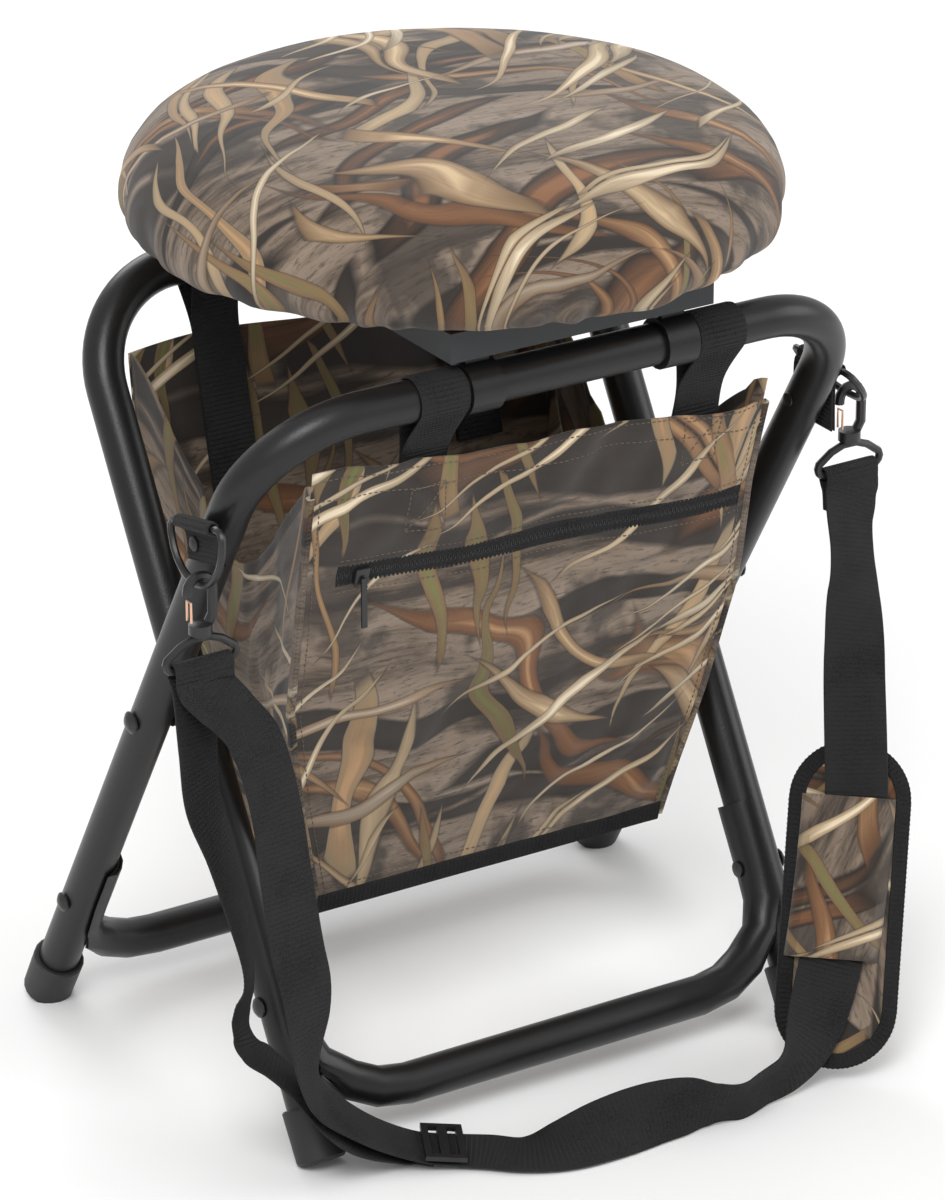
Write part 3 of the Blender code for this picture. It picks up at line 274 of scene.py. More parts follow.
def camouflage(name, turn, shift, shade=1.0):
    """A made-up reed and grass print on matt woven polyester."""
    material, tree, shader = finish(name, (0.2, 0.15, 0.1), 0.88, Sheen_Weight=0.12, Sheen_Roughness=0.5)
    sheet = node(tree, "Mapping", Vector=uv_of(tree), Location=shift, Rotation=(0, 0, turn)).outputs[0]
    drift = node(tree, "Mapping", Vector=sheet, Scale=(3.0, 26.0, 1)).outputs[0]
    bark = noise_of(tree, drift, 1.6, 6, 0.65).outputs[0]
    patch = noise_of(tree, sheet, 13, 4).outputs[0]
    ground = ramp(tree, bark, ((0.38, (0.036, 0.027, 0.021)), (0.44, (0.105, 0.076, 0.054)),
                               (0.50, (0.185, 0.137, 0.100)), (0.66, (0.265, 0.205, 0.155))))
    dashed = node(tree, "Mapping", Vector=sheet, Scale=(90, 420, 1)).outputs[0]
    speck = noise_of(tree, dashed, 1.0, 5, 0.7).outputs[0]
    ground = mix(tree, ramp(tree, speck, ((0.36, 0.75), (0.47, 0.0))), ground, (0.030, 0.023, 0.018))
    colour = mix(tree, ramp(tree, patch, ((0.52, 0.0), (0.58, 0.8))), ground, (0.030, 0.023, 0.019))
    for index, (angle, length, width, share, bend, light, dark) in enumerate(BLADES):
        offset = node(tree, "Mapping", Vector=sheet, Location=(index * 3.7, index * 1.9, 0)).outputs[0]
        bent = noise_of(tree, offset, 5.5, 1.5)
        wander = node(tree, "VectorMath", {"operation": "SUBTRACT"}, i0=bent.outputs[1],
                      i1=(0.5, 0.5, 0.5)).outputs[0]
        wander = node(tree, "VectorMath", {"operation": "SCALE"}, i0=wander, Scale=bend * 2.4).outputs[0]
        moved = node(tree, "VectorMath", {"operation": "ADD"}, i0=sheet, i1=wander).outputs[0]
        turned = node(tree, "Mapping", Vector=moved, Rotation=(0, 0, radians(angle)),
                      Location=(index * 0.37, index * 0.61, 0)).outputs[0]
        cell_at = node(tree, "Mapping", Vector=turned, Scale=(1 / length, 1 / width, 1)).outputs[0]
        cell = node(tree, "TexVoronoi", {"voronoi_dimensions": "2D"}, Vector=cell_at, Scale=1.0)
        edge = node(tree, "TexVoronoi", {"voronoi_dimensions": "2D", "feature": "DISTANCE_TO_EDGE"},
                    Vector=cell_at, Scale=1.0).outputs[0]
        lot = node(tree, "SeparateColor", i0=cell.outputs["Color"])
        there = calc(tree, "LESS_THAN", lot.outputs[0], share)
        body = calc(tree, "MULTIPLY", there, ramp(tree, edge, ((0.05, 0.0), (0.09, 1.0))))
        halo = calc(tree, "MULTIPLY", there, ramp(tree, edge, ((0.0, 0.0), (0.05, 0.65))))
        vein = node(tree, "Mapping", Vector=turned, Scale=(14, 900, 1)).outputs[0]
        streak = noise_of(tree, vein, 1.0, 2).outputs[0]
        leaf = mix(tree, lot.outputs[1], light, dark)
        leaf = mix(tree, calc(tree, "MULTIPLY", streak, 0.7), leaf, shaded(dark, 0.35))
        leaf = mix(tree, ramp(tree, edge, ((0.09, 0.9), (0.24, 0.0))), leaf, shaded(dark, 0.45))
        leaf = mix(tree, ramp(tree, edge, ((0.30, 0.0), (0.42, 0.55))), leaf, shaded(light, 1.5))
        colour = mix(tree, halo, colour, (0.028, 0.020, 0.015))
        colour = mix(tree, body, colour, leaf)
    if shade != 1.0:
        colour = mix(tree, 1.0, colour, (shade, shade, shade), "MULTIPLY")
    tree.links.new(colour, shader.inputs["Base Color"])
    parts = node(tree, "SeparateXYZ", Vector=uv_of(tree))
    weave = calc(tree, "MULTIPLY", calc(tree, "SINE", calc(tree, "MULTIPLY", parts.outputs[0], 6500)),
                 calc(tree, "SINE", calc(tree, "MULTIPLY", parts.outputs[1], 6500)))
    bump(tree, shader, calc(tree, "ADD", weave, noise_of(tree, uv_of(tree), 220, 3).outputs[0]), 0.0002, 0.35)
    return material


def make_materials():
    return {
        "tube": powder_coat("tube_coat", (0.0085, 0.0085, 0.009), 0.34, 900),
        "plate": powder_coat("plate_coat", (0.024, 0.026, 0.028), 0.5, 500),
        "fixing": powder_coat("fixing_coat", (0.02, 0.02, 0.021), 0.3, 700),
        "rubber": moulded("foot_rubber", (0.013, 0.013, 0.014), 0.55),
        "plastic": moulded("black_plastic", (0.011, 0.011, 0.012), 0.36),
        "zinc": bare_metal("zinc_plate", (0.50, 0.50, 0.49), 0.38),
        "copper": bare_metal("copper_wire", (0.72, 0.46, 0.33), 0.3),
        "board": plywood("plywood"),
        "webbing": woven("webbing", (0.009, 0.009, 0.0096)),
        "tape": woven("zip_tape", (0.008, 0.008, 0.0085)),
        "binding": woven("binding", (0.007, 0.007, 0.0072)),
        "thread": moulded("thread", (0.10, 0.08, 0.06), 0.8),
        "seat": camouflage("seat_print", 0.15, (0.31, 0.12, 0)),
        "bag": camouflage("bag_print", -0.05, (1.4, 0.7, 0)),
        "bag_dark": camouflage("piping_print", 0.4, (0.2, 0.9, 0), 0.55),
        "pad": camouflage("pad_print", 1.2, (2.2, 1.9, 0)),
    }


def dress_frame(looks):
    """Better materials on the CAD nodes whose shape stays; of two rules that fit, the later wins."""
    rules = (("_frame_tube", "tube"), ("_brace_tube", "tube"), ("_foot_cap", "rubber"),
             ("_rivet", "fixing"), ("pivot_bolt", "fixing"), ("pivot_nut", "fixing"),
             ("pivot_spacer", "plastic"), ("seat_tray", "plate"),
             ("hinge_collar", "tube"), ("rest_saddle", "plastic"), ("swivel_", "zinc"),
             ("seat_board", "board"), ("dring_", "plastic"), ("hook_", "plastic"),
             ("hook_gate", "copper"), ("strap_slider", "plastic"), ("zipper_", "plastic"))
    for name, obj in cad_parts.items():
        for part, look in rules:
            if part in name:
                for slot in obj.material_slots:
                    slot.material = looks[look]


CAD_SHARP, OWN_SHARP = radians(38), radians(50)     # edges over these angles stay sharp


def smooth_shading():
    """A modifier group that shades a CAD mesh smooth."""
    group = bpy.data.node_groups.new("smooth_shading", "GeometryNodeTree")
    for way in ("INPUT", "OUTPUT"):
        group.interface.new_socket("Geometry", in_out=way, socket_type="NodeSocketGeometry")

    def step(kind, settings=None):
        made = group.nodes.new(kind)
        for key, value in (settings or {}).items():
            setattr(made, key, value)
        return made

    chain = [step("NodeGroupInput"), step("GeometryNodeMergeByDistance"), step("GeometryNodeRemoveAttribute"),
             step("GeometryNodeSetShadeSmooth", {"domain": "FACE"}),
             step("GeometryNodeSetShadeSmooth", {"domain": "EDGE"}), step("NodeGroupOutput")]
    for before, after in zip(chain, chain[1:]):
        group.links.new(before.outputs[0], after.inputs[0])
    chain[1].inputs["Distance"].default_value = 0.00002
    chain[2].inputs["Name"].default_value = "custom_normal"
    sharp = step("FunctionNodeCompare", {"data_type": "FLOAT", "operation": "GREATER_THAN"})
    sharp.inputs[1].default_value = CAD_SHARP
    group.links.new(step("GeometryNodeInputMeshEdgeAngle").outputs[0], sharp.inputs[0])
    group.links.new(sharp.outputs[0], chain[4].inputs["Selection"])
    chain[4].inputs["Shade Smooth"].default_value = False
    return group


def smooth_cad():
    group = smooth_shading()
    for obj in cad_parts.values():
        obj.modifiers.new("smooth_shading", "NODES").node_group = group


# ---------------------------------------------------------------- mesh helpers
def mesh_object(name, bm, look, body=None, replaced=(), record_slot=None, smooth=True):
    """A piece of the scene from a bmesh, with its body and replaced nodes; record_slot is not used."""
    mesh = bpy.data.meshes.new(name)
    bmesh.ops.translate(bm, vec=MIDDLE, verts=bm.verts)
    bmesh.ops.recalc_face_normals(bm, faces=bm.faces)
    bm.to_mesh(mesh)
    bm.free()
    obj = bpy.data.objects.new(name, mesh)
    bpy.context.scene.collection.objects.link(obj)
    mesh.materials.append(look)
    if smooth:
        mesh.shade_smooth()
        mesh.set_sharp_from_angle(angle=OWN_SHARP)
    if body:
        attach(obj, body)
    if replaced:
        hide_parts(*replaced)
    return obj


def spline(keys, spacing):
    """Evenly spaced Catmull-Rom points (and blended directions) through keys.

    A key is (point, direction).  The result is a list of (point, direction) pairs.
    """
    def curve(a, b, c, d, t):
        return 0.5 * ((2 * b) + (c - a) * t + (2 * a - 5 * b + 4 * c - d) * t * t
                      + (3 * b - a - 3 * c + d) * t ** 3)

    keys = [(Vector(p), Vector(s).normalized()) for p, s in keys]
    keys = [keys[0]] + keys + [keys[-1]]
    dense = []
    for i in range(1, len(keys) - 2):
        four = keys[i - 1:i + 3]
        for step in range(24):
            dense.append(tuple(curve(*(key[k] for key in four), step / 24) for k in (0, 1)))
    dense.append(keys[-1])
    steps = [(b[0] - a[0]).length for a, b in zip(dense, dense[1:])]
    total = sum(steps)
    count = max(2, round(total / spacing))
    result, walked, at = [dense[0]], 0.0, 0
    for i in range(1, count):
        goal = total * i / count
        while walked + steps[at] < goal:
            walked += steps[at]
            at += 1
        share = (goal - walked) / max(steps[at], 1e-9)
        result.append(tuple(dense[at][k].lerp(dense[at + 1][k], share) for k in (0, 1)))
    result.append(dense[-1])
    return result


RIB = 0.0026                        # pitch of the webbing's crosswise ribs
RIB_HEIGHT = 0.00022


def ribbon(name, keys, width, look, thickness=0.0015, **extra):
    """Webbing along keys of (point, direction across), with ribs and rounded edges."""
    track = spline(keys, RIB / 4)
    bm = bmesh.new()
    layer = bm.loops.layers.uv.new("fabric")
    half, thin = width / 2, thickness / 2
    across = [(-half, 0), (-half + 0.0003, 0.8), (-half + 0.0014, 1), (-half * 0.5, 1), (0, 1),
              (half * 0.5, 1), (half - 0.0014, 1), (half - 0.0003, 0.8), (half, 0)]
    section = across + [(u, -v) for u, v in across[-2:0:-1]]
    rings, lengths, walked = [], [], 0.0
    for i, (point, side) in enumerate(track):
        before, after = track[max(i - 1, 0)][0], track[min(i + 1, len(track) - 1)][0]
        along = (after - before).normalized()
        side = (side - along * side.dot(along)).normalized()
        up = along.cross(side)
        rib = RIB_HEIGHT * (i % 4 - 1) * (-1 if i % 4 == 3 else 1)
        if i:
            walked += (point - track[i - 1][0]).length
        lengths.append(walked)
        ring = []
        for u, v in section:
            raised = rib if abs(u) < half - 0.001 else 0
            ring.append(bm.verts.new(point + side * u + up * (v * (thin + raised))))
        rings.append(ring)
    count = len(section)
    for i in range(len(rings) - 1):
        for j in range(count):
            k = (j + 1) % count
            face = bm.faces.new((rings[i][j], rings[i][k], rings[i + 1][k], rings[i + 1][j]))
            us = (section[j][0], section[k][0], section[k][0], section[j][0])
            vs = (lengths[i], lengths[i], lengths[i + 1], lengths[i + 1])
            for loop, u, v in zip(face.loops, us, vs):
                loop[layer].uv = (u, v)
    bm.faces.new(rings[0])
    bm.faces.new(rings[-1])
    return mesh_object(name, bm, look, **extra)


CLOTH_GRID = 0.003
CLOTH_THICKNESS = 0.0010


def fabric(name, spot, size, look, held, rests_on, with_pieces=(), **extra):
    """A sheet of cloth, spot(u, v) giving its points for u and v from 0 to 1."""
    across, along = (max(2, round(side / CLOTH_GRID)) for side in size)
    bm = bmesh.new()
    layer = bm.loops.layers.uv.new("fabric")
    grid = [[bm.verts.new(spot(i / across, j / along)) for i in range(across + 1)] for j in range(along + 1)]
    for j in range(along):
        for i in range(across):
            corners = ((i, j), (i + 1, j), (i + 1, j + 1), (i, j + 1))
            face = bm.faces.new([grid[b][a] for a, b in corners])
            for loop, (a, b) in zip(face.loops, corners):
                loop[layer].uv = (size[0] * a / across, size[1] * b / along)
    sheet = mesh_object(name, bm, look, **extra)
    solid = sheet.modifiers.new("thickness", "SOLIDIFY")
    solid.thickness = CLOTH_THICKNESS
    solid.offset = 0
    apply_modifiers(sheet)
    return sheet


def path_length(points):
    return sum((b - a).length for a, b in zip(points, points[1:]))


def run_of(path, pitch):
    """(middle, direction, outward) every pitch along path(t), which gives a point and its outward."""
    rough = [path(i / 60)[0] for i in range(61)]
    count = max(2, round(path_length(rough) / pitch))
    spots = [path(i / count) for i in range(count + 1)]
    return [((a[0] + b[0]) / 2, (b[0] - a[0]).normalized(), a[1]) for a, b in zip(spots, spots[1:])]


def dashes(name, spots, length, width, height, look, **extra):
    """Small bars, one at each (middle, direction, outward): stitches or zip teeth."""
    bm = bmesh.new()
    ring = ((-1, -1), (1, -1), (1, 1), (-1, 1))
    for middle, direction, outward in spots:
        side = direction.cross(outward).normalized()
        corners = {}
        for k in (0, 1):
            taper = 1 - 0.35 * k
            for i, j in ring:
                corner = middle + direction * (i * length / 2 * taper) + side * (j * width / 2 * taper)
                corners[i, j, k] = bm.verts.new(corner + outward * ((k - 0.4) * height))
        for k in (0, 1):
            bm.faces.new([corners[i, j, k] for i, j in ring])
        for (a, b), (c, d) in zip(ring, ring[1:] + ring[:1]):
            bm.faces.new((corners[a, b, 0], corners[c, d, 0], corners[c, d, 1], corners[a, b, 1]))
    return mesh_object(name, bm, look, smooth=False, **extra)


def arc(centre, a_axis, b_axis, radius, start, end, steps):
    """Points on a circle from start to end, in degrees from a_axis towards b_axis."""
    angles = [radians(start + (end - start) * i / steps) for i in range(steps + 1)]
    return [centre + a_axis * (radius * cos(t)) + b_axis * (radius * sin(t)) for t in angles]


# ---------------------------------------------------------------- shoulder strap
# The routes are part.py's own: a point on the webbing's middle, and the direction across.
STRAP_WIDTH = 0.034
LONG_ROUTE = [
    ((-0.2000, -0.0922, 0.2800), (1, 0, 0)),
    ((-0.1997, -0.0930, 0.2760), (1, 0, 0)),
    ((-0.1960, -0.0958, 0.2695), (0.98, 0.15, 0)),
    ((-0.1885, -0.1005, 0.2600), (0.97, 0.24, 0)),
    ((-0.1800, -0.1095, 0.2435), (0.98, 0.20, 0)),
    ((-0.1764, -0.1205, 0.2120), (0.97, 0.23, 0)),
    ((-0.1759, -0.1289, 0.1760), (0.98, 0.18, 0)),
    ((-0.1752, -0.1380, 0.1400), (0.98, 0.16, 0)),
    ((-0.1744, -0.1450, 0.1210), (0.97, 0.22, 0)),
    ((-0.1750, -0.1488, 0.1030), (0.93, 0.36, 0)),
    ((-0.1756, -0.1494, 0.0850), (0.83, 0.55, 0)),
    ((-0.1740, -0.1488, 0.0710), (0.72, 0.69, 0)),
    ((-0.1695, -0.1466, 0.0584), (0.61, 0.79, 0)),
    ((-0.1614, -0.1440, 0.0470), (0.55, 0.84, 0)),
    ((-0.1485, -0.1418, 0.0345), (0.51, 0.86, 0)),
    ((-0.1325, -0.1412, 0.0215), (0.46, 0.89, 0)),
    ((-0.1175, -0.1430, 0.0120), (0.43, 0.90, 0)),
    ((-0.1040, -0.1475, 0.0062), (0.44, 0.90, 0)),
    ((-0.0900, -0.1540, 0.0040), (0.53, 0.85, 0)),
    ((-0.0760, -0.1635, 0.0035), (0.66, 0.75, 0.02)),
    ((-0.0610, -0.1765, 0.0036), (0.58, 0.82, 0.05)),
    ((-0.0420, -0.1862, 0.0080), (0.24, 0.90, 0.36)),
    ((-0.0184, -0.1915, 0.0130), (0.04, 0.73, 0.68)),
    ((0.0074, -0.1961, 0.0168), (0.00, 0.34, 0.94)),
    ((0.0260, -0.2005, 0.0178), (-0.10, 0.05, 0.99)),
    ((0.0400, -0.2055, 0.0168), (-0.38, -0.28, 0.87)),
    ((0.0570, -0.2075, 0.0160), (-0.60, -0.38, 0.70)),
    ((0.0790, -0.2020, 0.0172), (-0.66, -0.42, 0.62)),
    ((0.0960, -0.1972, 0.0212), (-0.72, -0.20, 0.62)),
    ((0.1090, -0.1928, 0.0302), (-0.82, 0.12, 0.50)),
    ((0.1212, -0.1858, 0.0455), (-0.90, 0.38, 0.20)),
    ((0.1340, -0.1770, 0.0640), (-0.86, 0.50, 0.04)),
    ((0.1490, -0.1670, 0.0922), (-0.85, 0.53, 0)),
    ((0.1580, -0.1590, 0.1170), (-0.85, 0.53, 0)),
    ((0.1668, -0.1510, 0.1410), (-0.85, 0.53, 0)),
    ((0.1725, -0.1415, 0.1675), (-0.86, 0.51, 0)),
    ((0.1824, -0.1251, 0.1988), (-0.92, 0.38, 0)),
    ((0.1897, -0.1144, 0.2153), (-0.97, 0.22, 0)),
    ((0.1968, -0.1034, 0.2302), (-1.00, 0.01, 0)),
    ((0.2018, -0.0960, 0.2411), (-0.98, -0.20, 0)),
    ((0.2062, -0.0875, 0.2548), (-0.95, -0.30, 0)),
    ((0.2105, -0.0785, 0.2700), (-0.97, -0.24, 0)),
    ((0.2155, -0.0722, 0.2795), (-0.99, -0.12, 0)),
    ((0.2177, -0.0703, 0.2845), (-1, 0, 0)),
    ((0.2179, -0.0700, 0.2866), (-1, 0, 0)),
]
# Route of the return strand: left hook loop to the slider, outside the leg.
RETURN_ROUTE = [
    ((-0.2005, -0.0845, 0.2800), (1.00, 0.05, 0)),
    ((-0.2010, -0.0860, 0.2700), (0.98, 0.22, 0)),
    ((-0.2040, -0.0905, 0.2430), (0.90, 0.43, 0)),
    ((-0.2040, -0.0940, 0.2130), (0.86, 0.51, 0)),
    ((-0.1985, -0.0990, 0.1851), (0.74, 0.68, 0)),
    ((-0.1925, -0.1045, 0.1542), (0.67, 0.74, 0)),
    ((-0.1885, -0.1090, 0.1280), (0.60, 0.80, 0)),
    ((-0.1880, -0.1105, 0.1130), (0.62, 0.78, 0)),
    ((-0.1905, -0.1100, 0.1025), (0.74, 0.68, 0)),
    ((-0.1930, -0.1102, 0.0930), (0.72, 0.70, 0)),
    ((-0.1940, -0.1130, 0.0835), (0.61, 0.79, 0)),
    ((-0.1920, -0.1190, 0.0765), (0.54, 0.84, 0)),
    ((-0.1855, -0.1260, 0.0705), (0.51, 0.86, 0)),
    ((-0.1773, -0.1320, 0.0610), (0.51, 0.86, 0)),
    ((-0.1691, -0.1367, 0.0482), (0.51, 0.86, 0)),
    ((-0.1592, -0.1425, 0.0352), (0.54, 0.84, 0)),
    ((-0.1420, -0.1400, 0.0215), (0.54, 0.84, 0)),
    ((-0.1245, -0.1375, 0.0108), (0.46, 0.89, 0)),
    ((-0.1105, -0.1375, 0.0042), (0.43, 0.90, 0)),
    ((-0.0980, -0.1438, 0.0014), (0.47, 0.88, 0)),
]
# The long strand is folded over the hook loops' bars: at the left on its way to the return
# strand, at the right with its sewn tail behind.
LEFT_WRAP = [
    ((-0.2005, -0.0845, 0.2800), (1, 0, 0)), ((-0.2005, -0.0846, 0.2852), (1, 0, 0)),
    ((-0.2005, -0.0862, 0.2882), (1, 0, 0)), ((-0.2004, -0.0884, 0.2891), (1, 0, 0)),
    ((-0.2002, -0.0906, 0.2882), (1, 0, 0)), ((-0.2001, -0.0922, 0.2852), (1, 0, 0)),
]
RIGHT_WRAP = [
    ((0.2179, -0.0698, 0.2918), (-1, 0, 0)), ((0.2179, -0.0682, 0.2948), (-1, 0, 0)),
    ((0.2179, -0.0660, 0.2956), (-1, 0, 0)), ((0.2179, -0.0638, 0.2948), (-1, 0, 0)),
    ((0.2179, -0.0622, 0.2918), (-1, 0, 0)), ((0.2172, -0.0655, 0.2850), (-1, 0, 0)),
    ((0.2150, -0.0697, 0.2783), (-0.99, -0.12, 0)), ((0.2100, -0.0758, 0.2690), (-0.97, -0.24, 0)),
]


def route_points(route):
    return [point + MIDDLE for point, _ in spline(route, 0.01)]


def route_length(route):
    return path_length([point for point, _ in spline(route, 0.002)])


def straps(looks, pad_pieces):
    """The shoulder strap's two strands; pad_pieces is not used."""
    whole = LEFT_WRAP + LONG_ROUTE + RIGHT_WRAP
    for name, route in (("strap_long", whole), ("strap_return", RETURN_ROUTE)):
        strap = ribbon(f"{name}_webbing", route, STRAP_WIDTH, looks["webbing"], body="outer_frame",
                       replaced=[name], record_slot="webbing")
        round(route_length(route), 4)
        route_points(route)


PAD_TOP, PAD_BOTTOM = Vector((0.1788, -0.1313, 0.1643)), Vector((0.1250, -0.1921, 0.0088))
PAD_WIDTH = 0.064
PAD_EDGE, PAD_SWELL = 0.0030, 0.0034    # half the edge's thickness, and what the middle adds
SLEEVE_SHARE = 0.50                     # of the pad's length, covered by the webbing's sleeve
PAD_UP = (PAD_TOP - PAD_BOTTOM).normalized()
PAD_OUT = Vector((0.85, -0.53, 0)).normalized().cross(PAD_UP).normalized()
PAD_SIDE = PAD_UP.cross(PAD_OUT)
PAD_STRAIGHT = (PAD_TOP - PAD_BOTTOM).length / 2 - PAD_WIDTH / 2


def on_pad(across, along, height):
    return (PAD_TOP + PAD_BOTTOM) / 2 + PAD_SIDE * across + PAD_UP * along + PAD_OUT * height


def pad_outline(reach, steps=40):
    """(across, along) all round the pad, reach from its middle line."""
    points = []
    for way in (1, -1):
        turns = [pi * i / steps for i in range(steps + 1)]
        points += [(way * reach * cos(t), way * (PAD_STRAIGHT + reach * sin(t))) for t in turns]
        points += [(-way * reach, way * PAD_STRAIGHT * (1 - i / 20)) for i in range(1, 40)]
    return points


def shoulder_pad(looks):
    """The padded cover, its bindings and the sleeve the webbing runs through."""
    bm = bmesh.new()
    layer = bm.loops.layers.uv.new("fabric")
    where, rows = {}, []
    reaches = [0.02 + 0.98 * i / 14 for i in range(15)]
    for way in (1, -1):
        for reach in (reaches if way == 1 else reaches[::-1]):
            row = []
            for x, y in pad_outline(reach * (PAD_WIDTH / 2 - 0.001)):
                full = (1 - reach ** 3) ** 0.5
                soft = 0.0008 * noise.noise(Vector((x * 60, y * 35, way))) * full
                vertex = bm.verts.new(on_pad(x, y, way * (PAD_EDGE + PAD_SWELL * full + soft)))
                where[vertex] = (x, y)
                row.append(vertex)
            rows.append(row)
    count = len(rows[0])
    for low, high in zip(rows, rows[1:]):
        for i in range(count):
            j = (i + 1) % count
            bm.faces.new((low[i], low[j], high[j], high[i]))
    bm.faces.new(rows[0])
    bm.faces.new(rows[-1])
    for face in bm.faces:
        for loop in face.loops:
            loop[layer].uv = where[loop.vert]
    pad = mesh_object("pad_cover", bm, looks["pad"], body="outer_frame", replaced=["shoulder_pad"],
                      record_slot="pad_fabric")
    pieces = [pad]
    for height in (1, -1):
        keys = []
        for x, y in pad_outline(PAD_WIDTH / 2 - 0.0038, 14):
            outward = on_pad(x, y, 0) - on_pad(0, max(-PAD_STRAIGHT, min(PAD_STRAIGHT, y)), 0)
            keys.append((on_pad(x, y, height * 0.0051), outward.normalized() - PAD_OUT * (0.30 * height)))
        pieces.append(ribbon(f"pad_binding_{'front' if height > 0 else 'back'}", keys + keys[:1], 0.0078,
                             looks["binding"], 0.0016, body="outer_frame"))
    keys = [(on_pad(x, y, 0), PAD_OUT) for x, y in pad_outline(PAD_WIDTH / 2 + 0.0002, 14)]
    pieces.append(ribbon("pad_binding_edge", keys + keys[:1], 0.0088, looks["binding"], 0.0014,
                         body="outer_frame"))

    length = (PAD_TOP - PAD_BOTTOM).length

    def sleeve(u, v):
        across = (u - 0.5) * 0.0500
        rise = max(0.0, min(1.0, (0.0245 - abs(across)) / 0.0055))
        rise = rise * rise * (3 - 2 * rise)
        pucker = 0.0006 * noise.noise(Vector((across * 90, v * 12, 6.0)))
        return on_pad(across - 0.001 - 0.004 * v * v, length * (0.33 - SLEEVE_SHARE * v),
                      0.0064 + (0.0056 + 0.0016 * v * v) * rise + pucker)

    fabric("pad_sleeve", sleeve, (0.054, SLEEVE_SHARE * length), looks["pad"], "stretched", ["pad_cover"],
           body="outer_frame")
    return pieces


# ---------------------------------------------------------------- frames
TUBE_R, TOP_BEND = 0.0111, 0.058
TOP_Y, TOP_Z, FOOT_Y = 0.1165, 0.4154, 0.127
TUBE_END_Z = 0.0085                 # in the foot caps
OUTER_HALF_X, INNER_HALF_X = 0.181, 0.154
TUBE_SIDES = 48


def frame_tube(name, half_x, front, body, looks):
    """An inverted U of round tube in its leaning plane; front is -1 for the outer frame."""
    down = Vector((0, -front * (TOP_Y + FOOT_Y), -TOP_Z)).normalized()
    corner = Vector((0, front * TOP_Y, TOP_Z))
    foot = corner + down * ((TOP_Z - TUBE_END_Z) / -down.z)
    points = [foot - X * half_x]
    for side, first in ((-1, 0), (1, 90)):
        middle = corner + X * (side * (half_x - TOP_BEND)) + down * TOP_BEND
        points += arc(middle, X * side, -down, TOP_BEND, first, 90 - first, 18)
    points.append(foot + X * half_x)
    normal = X.cross(down)
    bm = bmesh.new()
    rings = []
    for before, point, after in zip(points[:1] + points, points, points[1:] + points[-1:]):
        side = (after - before).normalized().cross(normal)
        ring = []
        for i in range(TUBE_SIDES):
            turn = 2 * pi * i / TUBE_SIDES
            ring.append(bm.verts.new(point + normal * (TUBE_R * cos(turn)) + side * (TUBE_R * sin(turn))))
        rings.append(ring)
    for low, high in zip(rings, rings[1:]):
        for i in range(TUBE_SIDES):
            j = (i + 1) % TUBE_SIDES
            bm.faces.new((low[i], low[j], high[j], high[i]))
    bm.faces.new(rings[0])
    bm.faces.new(rings[-1])
    mesh_object(f"{name}_round", bm, looks["tube"], body=body, replaced=[name], record_slot="black_tube")


# ---------------------------------------------------------------- bag
BAG_TOP, BAG_BOTTOM = 0.378, 0.106
BAG_TOP_Y, BAG_BOTTOM_Y = 0.1105, 0.045
# The panels' edges: (height, how far from the middle), from the bottom up.
LEFT_EDGE = ((0.098, 0.109), (0.114, 0.110), (0.174, 0.127), (0.235, 0.141), (0.335, 0.1455), (0.390, 0.148))
RIGHT_EDGE = ((0.098, 0.110), (0.131, 0.115), (0.182, 0.125), (0.258, 0.134), (0.316, 0.131), (0.390, 0.133))
BACK_EDGE = ((0.098, 0.110), (0.170, 0.126), (0.235, 0.136), (0.390, 0.128))
PANEL_UP = Vector((0, BAG_BOTTOM_Y - BAG_TOP_Y, BAG_TOP - BAG_BOTTOM)).normalized()
PANEL_OUT = X.cross(PANEL_UP)
ZIP_Z, ZIP_SLOPE, ZIP_HALF = 0.3135, -0.045, 0.1255
ZIP_TEETH = 190
STITCH_PITCH = 0.0034
PANEL = 0.0024                      # thickness of a bag panel in the CAD
WEB, GAP = 0.0014, 0.0003           # thickness of folded webbing, and the air round it
# The loops over the frames' tops: name, middle, which side, height of the sewn tails' ends.
LOOPS = (("front_loop_left", -0.0785, -1, 0.335), ("front_loop_right", 0.0905, -1, 0.335),
         ("rear_loop_left", -0.077, 1, 0.290), ("rear_loop_right", 0.077, 1, 0.290))
LOOP_WIDTH, TAB_WIDTH = 0.029, 0.036
SCREW_Z = 0.3465                    # of the screws through the D-rings' tabs


def panel_y(z):
    """How far the leaning panels' planes are from the middle at height z."""
    return BAG_BOTTOM_Y + (BAG_TOP_Y - BAG_BOTTOM_Y) * (z - BAG_BOTTOM) / (BAG_TOP - BAG_BOTTOM)


def edge_x(keys, z):
    """Half width at height z, through (height, half width) keys."""
    for (low, a), (high, b) in zip(keys, keys[1:]):
        if z <= high:
            return a + (b - a) * max(0.0, z - low) / (high - low)
    return keys[-1][1]


def zip_z(x):
    """Height of the slightly wavy zip at x."""
    return ZIP_Z + ZIP_SLOPE * x + 0.0012 * sin(x * 48 + 0.6)


def near(value, reach):
    """1 at no distance, falling smoothly to 0 at reach."""
    t = max(0.0, 1 - abs(value) / reach)
    return t * t * (3 - 2 * t)


